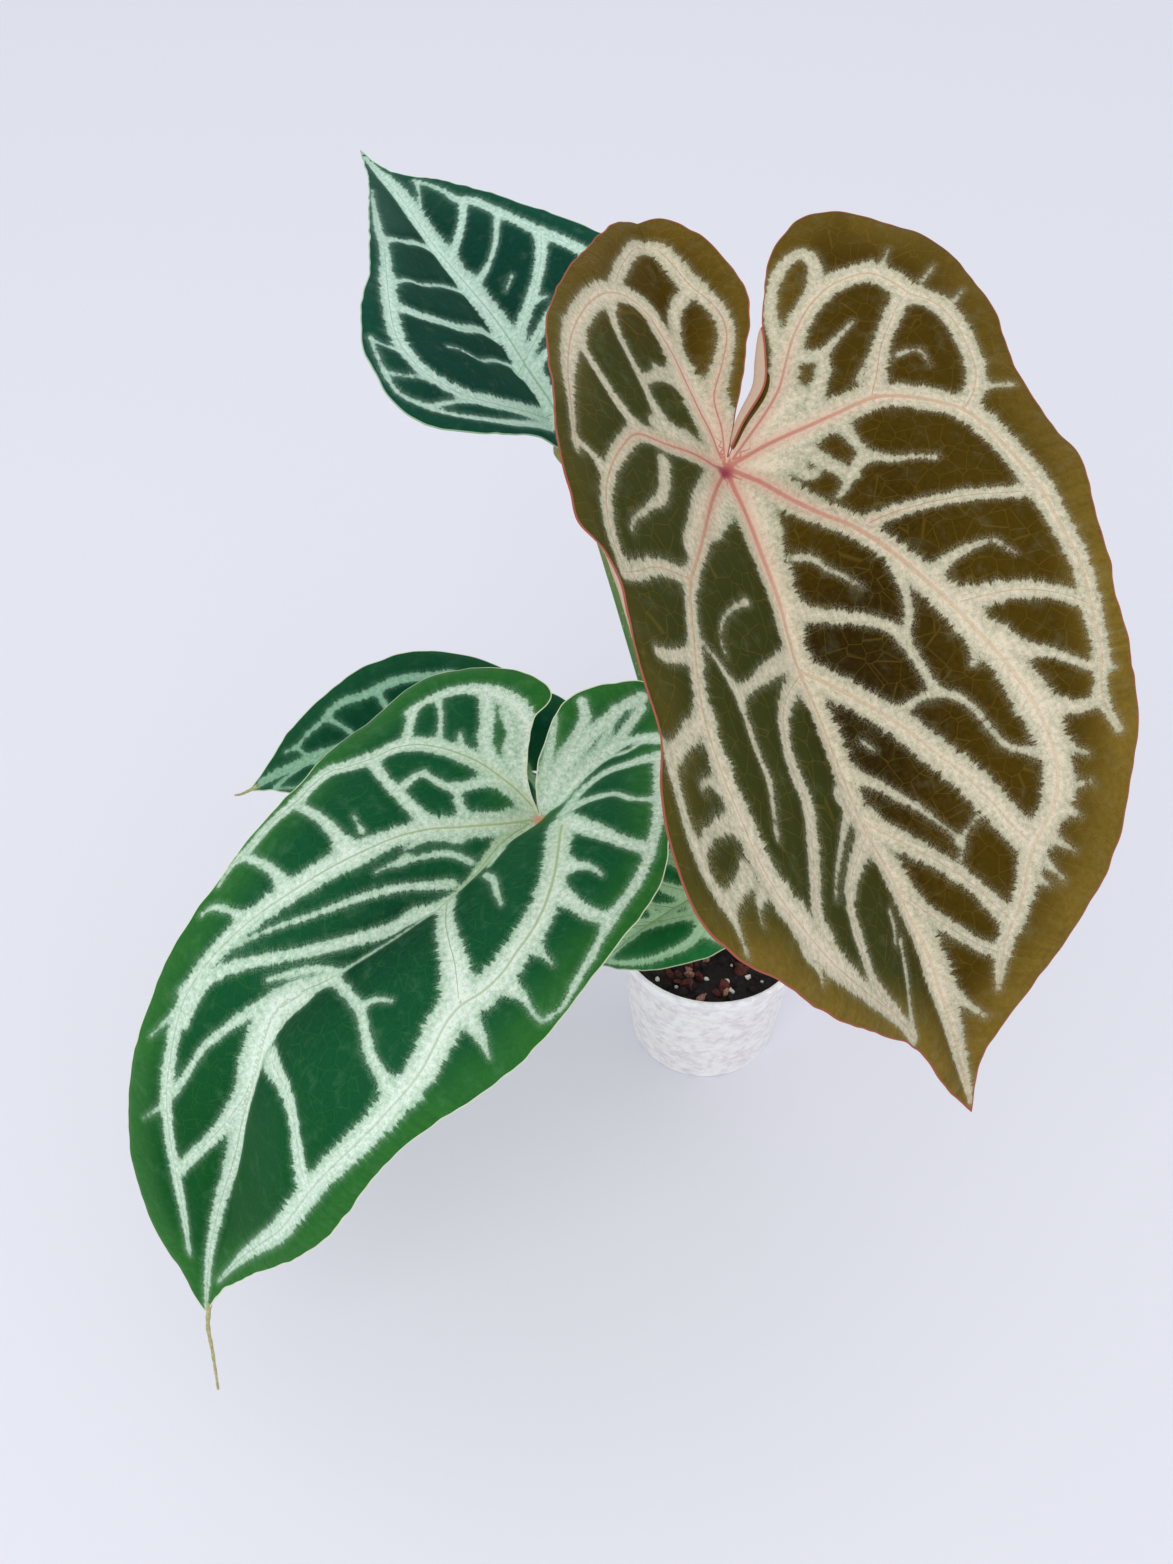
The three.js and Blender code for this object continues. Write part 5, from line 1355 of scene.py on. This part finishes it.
below_lip = POT_HEIGHT - LIP_DEPTH - 1
section = [(0, 0), (30, 0), (38, 0), (40.2, 0), (40.8, 0.4), (BASE_RADIUS, 1.1)]
section += [(inner_radius(z) + WALL, z) for z in np.linspace(4, below_lip - 1, 14)]
section += [(inner_radius(below_lip) + WALL, below_lip), (50.6, 76.4), (51.4, 77), (51.9, 77.8), (52, 78.6),
            (52, 80.6), (51.8, 81.3), (51.3, 81.8), (50.7, 82), (50.1, 81.8), (49.5, 81.2), (48.9, 80.2)]
section += [(inner_radius(z), z) for z in np.linspace(78, FLOOR_TOP + 1.5, 14)]
section += [(inner_radius(FLOOR_TOP) - 0.5, FLOOR_TOP + 0.3), (inner_radius(FLOOR_TOP) - 2, FLOOR_TOP),
            (20, FLOOR_TOP), (0, FLOOR_TOP)]
pot = turned("nursery_pot", section, 144)

hole_centres = [(DRAIN_CIRCLE * math.cos(a), DRAIN_CIRCLE * math.sin(a))
                for a in np.arange(DRAIN_COUNT) * 2 * np.pi / DRAIN_COUNT]
drills = []
for x, y in hole_centres:
    bpy.ops.mesh.primitive_cylinder_add(vertices=32, radius=DRAIN_RADIUS * MM, depth=8 * MM,
                                        location=(x * MM, y * MM, 1 * MM))
    drills.append(bpy.context.object)
drill = joined("drain_holes", drills)
cut = pot.modifiers.new("drain holes", "BOOLEAN")
cut.object, cut.operation, cut.solver = drill, "DIFFERENCE", "EXACT"
graph = bpy.context.evaluated_depsgraph_get()
pot.data = bpy.data.meshes.new_from_object(pot.evaluated_get(graph))
pot.modifiers.clear()
bpy.data.objects.remove(drill)
pot.data.set_sharp_from_angle(angle=math.radians(40))
pieces["pot"] = pot
print("pot", len(pot.data.polygons), "faces")

# %% Frosted plastic
f = Finish("frosted plastic")
where = f.place()
stretchy = f.stretched(where, (1.0, 1.0, 1.25))
cloud = f.noise(stretchy, 80.0, 3.0, 0.6)
chips_behind = f.noise(stretchy, 190.0, 2.0, 0.6)
flecks = f.noise(f.stretched(where, (1.0, 1.0, 2.2)), 120.0, 3.0, 0.6)
height = f.node("ShaderNodeSeparateXYZ", {}, {0: where}, "Z")
filled = (1.0 - height.stretch(0.070, 0.0765)) * height.stretch(0.001, 0.006)
frost = f.blend(colour("e9e6ea"), colour("ffffff"), cloud.stretch(0.38, 0.6))
behind = f.blend(colour("d9d2d3"), colour("f8f3f0"), chips_behind.stretch(0.35, 0.6))
frost = f.blend(frost, behind, filled * (cloud * -1.0 + 1.25).at_most(1.0).at_least(0.0) * 0.8)
frost = f.blend(frost, colour("ffffff"), flecks.stretch(0.54, 0.66) * 0.7)
pot.data.materials.clear()
pot.data.materials.append(f.surface({
    "Base Color": frost, "Roughness": 0.46 + cloud * 0.12,
    "Normal": f.bump(chips_behind + flecks, 0.3, 0.0004),
    "Subsurface Weight": 0.25, "Subsurface Radius": (0.01, 0.01, 0.011), "Subsurface Scale": 0.3}))

# %% [markdown]
# ## Potting mix
# Orchid-style mix is chunky: bark chips in several browns, dark fines between them, and white
# perlite. The filling is one lumpy body. Chips and grains are scattered over its top by Geometry
# Nodes, because there are hundreds of them and no two lie alike.

# %% Body of the mix
MIX_LEVEL, MIX_CROWN = 73, 2.5
MIX_SIDES, MIX_GAP, MIX_SEAT = 96, 0.25, 0.3


def mix_height(x, y):
    r = np.hypot(x, y)
    lump = 0.8 * np.sin(x * 0.31 + 1) * np.cos(y * 0.27) + 0.6 * np.sin(x * 0.13 - y * 0.42)
    crumb = 0.5 * np.sin(x * 1.3 + np.sin(y * 0.9)) * np.cos(y * 1.1 + 1) + 0.3 * np.sin(x * 2.3 - y * 1.9)
    return MIX_LEVEL + MIX_CROWN * (1 - r / inner_radius(MIX_LEVEL)) + lump + crumb


angles = np.arange(MIX_SIDES) / MIX_SIDES * 2 * np.pi
rings = []
for z in np.linspace(FLOOR_TOP + MIX_SEAT, MIX_LEVEL - 2, 16):
    reach = inner_radius(z) - MIX_GAP
    rings.append([(reach * math.cos(a), reach * math.sin(a), z) for a in angles])
edge = inner_radius(MIX_LEVEL) - 0.4
for r in np.linspace(edge, 1.5, 30):
    x, y = r * np.cos(angles), r * np.sin(angles)
    rings.append(list(zip(x, y, mix_height(x, y) - 0.9 * ease((r - edge + 2) / 2))))
points, faces = closed_skin(rings, (0, 0, FLOOR_TOP + MIX_SEAT), (0, 0, mix_height(0.0, 0.0)))
mix_body = mesh_object("mix", points, faces)
print("mix body", len(faces), "triangles")

# %% Mix finishes
def chip_finish(name, dark, light):
    f = Finish(name)
    grain = f.noise(f.stretched(f.place(), (1.0, 0.35, 1.0)), 800.0, 3.0, 0.6)
    patch = f.noise(f.place(), 160.0, 2.0, 0.5)
    tone = f.blend(colour(dark), colour(light), (grain * 0.7 + patch * 0.5).stretch(0.4, 0.8))
    return f.surface({"Base Color": tone, "Roughness": 0.85, "Normal": f.bump(grain, 0.8, 0.0006)})


fines = speckled("dark fines", (420.0, 4.0, 0.7), ("0c0607", "281412"), (0.4, 0.7), 0.9, 0.9, 0.0012)
perlite = speckled("perlite", (1300.0, 3.0, 0.6), ("c9cbb8", "f2f2ea"), (0.35, 0.6), 0.9, 0.9, 0.0005)
bark_red = chip_finish("red-brown bark", "2a0d0c", "6b2f24")
bark_tan = chip_finish("tan bark", "6d4436", "b98a7a")
mix_body.data.materials.append(fines)

# %% Scattering tree
def chip_shape(name, size, seed):
    """A small lump: a rough ball whose corners are pushed about."""
    chance = np.random.default_rng(seed)
    made = bmesh.new()
    bmesh.ops.create_icosphere(made, subdivisions=1, radius=1.0)
    for corner in made.verts:
        corner.co *= 1 + chance.uniform(-0.22, 0.22)
        corner.co = Vector([c * s for c, s in zip(corner.co, size)])
    mesh = bpy.data.meshes.new(name)
    made.to_mesh(mesh)
    made.free()
    lump = bpy.data.objects.new(name, mesh)
    bpy.context.scene.collection.objects.link(lump)
    return lump


scatter_tree, scatter_inputs = new_tree("scatter lumps over a surface", {
    "Lump": ("NodeSocketObject", None), "Per square metre": ("NodeSocketFloat", 9000.0),
    "Smallest": ("NodeSocketFloat", 0.002), "Largest": ("NodeSocketFloat", 0.005),
    "Seed": ("NodeSocketInt", 1), "Skin": ("NodeSocketMaterial", None)})
lay = Layout(scatter_tree)
given = lay.start.outputs
spots = lay.add("GeometryNodeDistributePointsOnFaces", {"distribute_method": "RANDOM"}, {
    "Mesh": given[0], "Density": given["Per square metre"], "Seed": given["Seed"]})
lump = lay.add("GeometryNodeObjectInfo", values={"Object": given["Lump"]})
turn = lay.add("FunctionNodeRandomValue", {"data_type": "FLOAT_VECTOR"}, {
    "Max": (6.283, 6.283, 6.283), "Seed": given["Seed"]})
grow = lay.add("FunctionNodeRandomValue", {"data_type": "FLOAT"}, {"Seed": given["Seed"]})
scatter_tree.links.new(given["Smallest"], grow.inputs[2])
scatter_tree.links.new(given["Largest"], grow.inputs[3])
copies = lay.add("GeometryNodeInstanceOnPoints", values={
    "Points": spots.outputs["Points"], "Instance": lump.outputs["Geometry"],
    "Rotation": turn.outputs[0], "Scale": grow.outputs[1]})
real = lay.add("GeometryNodeRealizeInstances", values={"Geometry": copies.outputs[0]})
skin = lay.add("GeometryNodeSetMaterial", values={"Geometry": real.outputs[0], "Material": given["Skin"]})
lay.give(skin.outputs[0])


def top_of_mix(name, largest):
    """The top of the mix as a sheet, far enough inside the pot for lumps of this size."""
    reach = inner_radius(MIX_LEVEL) - largest - 0.6
    xs = np.arange(-reach, reach, 1.5)
    x, y = np.meshgrid(xs, xs, indexing="ij")
    points = np.stack([x.ravel(), y.ravel(), mix_height(x, y).ravel() + 0.3], -1)
    n = len(xs)
    r = np.hypot(points[:, 0], points[:, 1])
    square = np.array([(i * n + j, (i + 1) * n + j, (i + 1) * n + j + 1, i * n + j + 1)
                       for i in range(n - 1) for j in range(n - 1)])
    keep = (r[square] < reach).all(1) & (r[square] > STEM_RADIUS + 3).all(1)
    return mesh_object(name, points, square[keep])


LUMPS = [
    ("dark chips", (1.0, 0.7, 0.45), 21, 15000, 2.2, 4.6, fines),
    ("red bark", (1.0, 0.65, 0.4), 22, 8000, 2.8, 5.8, bark_red),
    ("tan bark", (1.0, 0.75, 0.5), 23, 1900, 2.6, 5.0, bark_tan),
    ("perlite", (1.0, 0.85, 0.8), 24, 5200, 0.9, 2.1, perlite),
]
parts = [mix_body]
for k, (label, size, seed, density, small, large, material) in enumerate(LUMPS):
    lump = chip_shape(label, size, seed)
    parts.append(baked(top_of_mix(label, large), scatter_tree, scatter_inputs, {
        "Lump": lump, "Per square metre": float(density), "Smallest": small * MM, "Largest": large * MM,
        "Seed": k + 3, "Skin": material}, label))
    bpy.data.objects.remove(lump)
    print(label, len(parts[-1].data.polygons), "faces")
pieces["mix"] = joined("mix", parts)

# %% [markdown]
# ## Binding the pieces to the frame
# Every piece moves with the plant's one body, and the imported solid that it takes the place of is hidden.

# %% Binding
BINDING = {
    "pot": ("pot", "pot"), "mix": ("potting_mix", "potting_mix"), "stem": ("stem", "stem"),
    "bronze": ("leaf_bronze", "bronze_leaf"), "green": ("leaf_green", "green_leaf"),
    "dark": ("leaf_dark", "dark_leaf"), "low": ("leaf_low", "green_leaf"),
    "small": ("leaf_small", "green_leaf"),
}
for name, (node, slot) in BINDING.items():
    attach(pieces[name], "root")
    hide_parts(node)

# %% [markdown]
# ## Floor and light
# The plant was pictured on a pale sheet in soft daylight, with hardly a shadow. A big soft light
# stands in front, to the left and above, and a pale sky fills the rest.

# %% Floor and light
SIDE, NEAR_END, FAR_END = 9000.0, -3000.0, 15000.0
corners = np.array([(-SIDE, NEAR_END, 0), (SIDE, NEAR_END, 0), (SIDE, FAR_END, 0), (-SIDE, FAR_END, 0)])
floor = mesh_object("floor", corners, np.array([(0, 1, 2), (0, 2, 3)]))
f = Finish("pale sheet")
floor.data.materials.append(f.surface({"Base Color": (0.80, 0.80, 0.87, 1.0), "Roughness": 0.8,
                                       "Specular IOR Level": 0.1}))

scene = bpy.context.scene
scene.view_settings.view_transform = "Standard"
scene.world = bpy.data.worlds.new("soft daylight")
scene.world.use_nodes = True
sky = scene.world.node_tree.nodes["Background"]
sky.inputs["Color"].default_value = (0.95, 0.97, 1.0, 1.0)
sky.inputs["Strength"].default_value = 0.92


def soft_light(name, place, aim, width, power, tint):
    data = bpy.data.lights.new(name, "AREA")
    data.shape, data.size, data.energy, data.color = "DISK", width, power, tint
    lamp = bpy.data.objects.new(name, data)
    lamp.location = place
    lamp.rotation_euler = (Vector(aim) - Vector(place)).to_track_quat("-Z", "Y").to_euler()
    scene.collection.objects.link(lamp)


soft_light("window", (-0.8, -1.7, 1.9), (0, 0, 0.15), 1.8, 15, (1.0, 0.985, 0.965))

# %% Update the scene
bpy.context.view_layer.update()
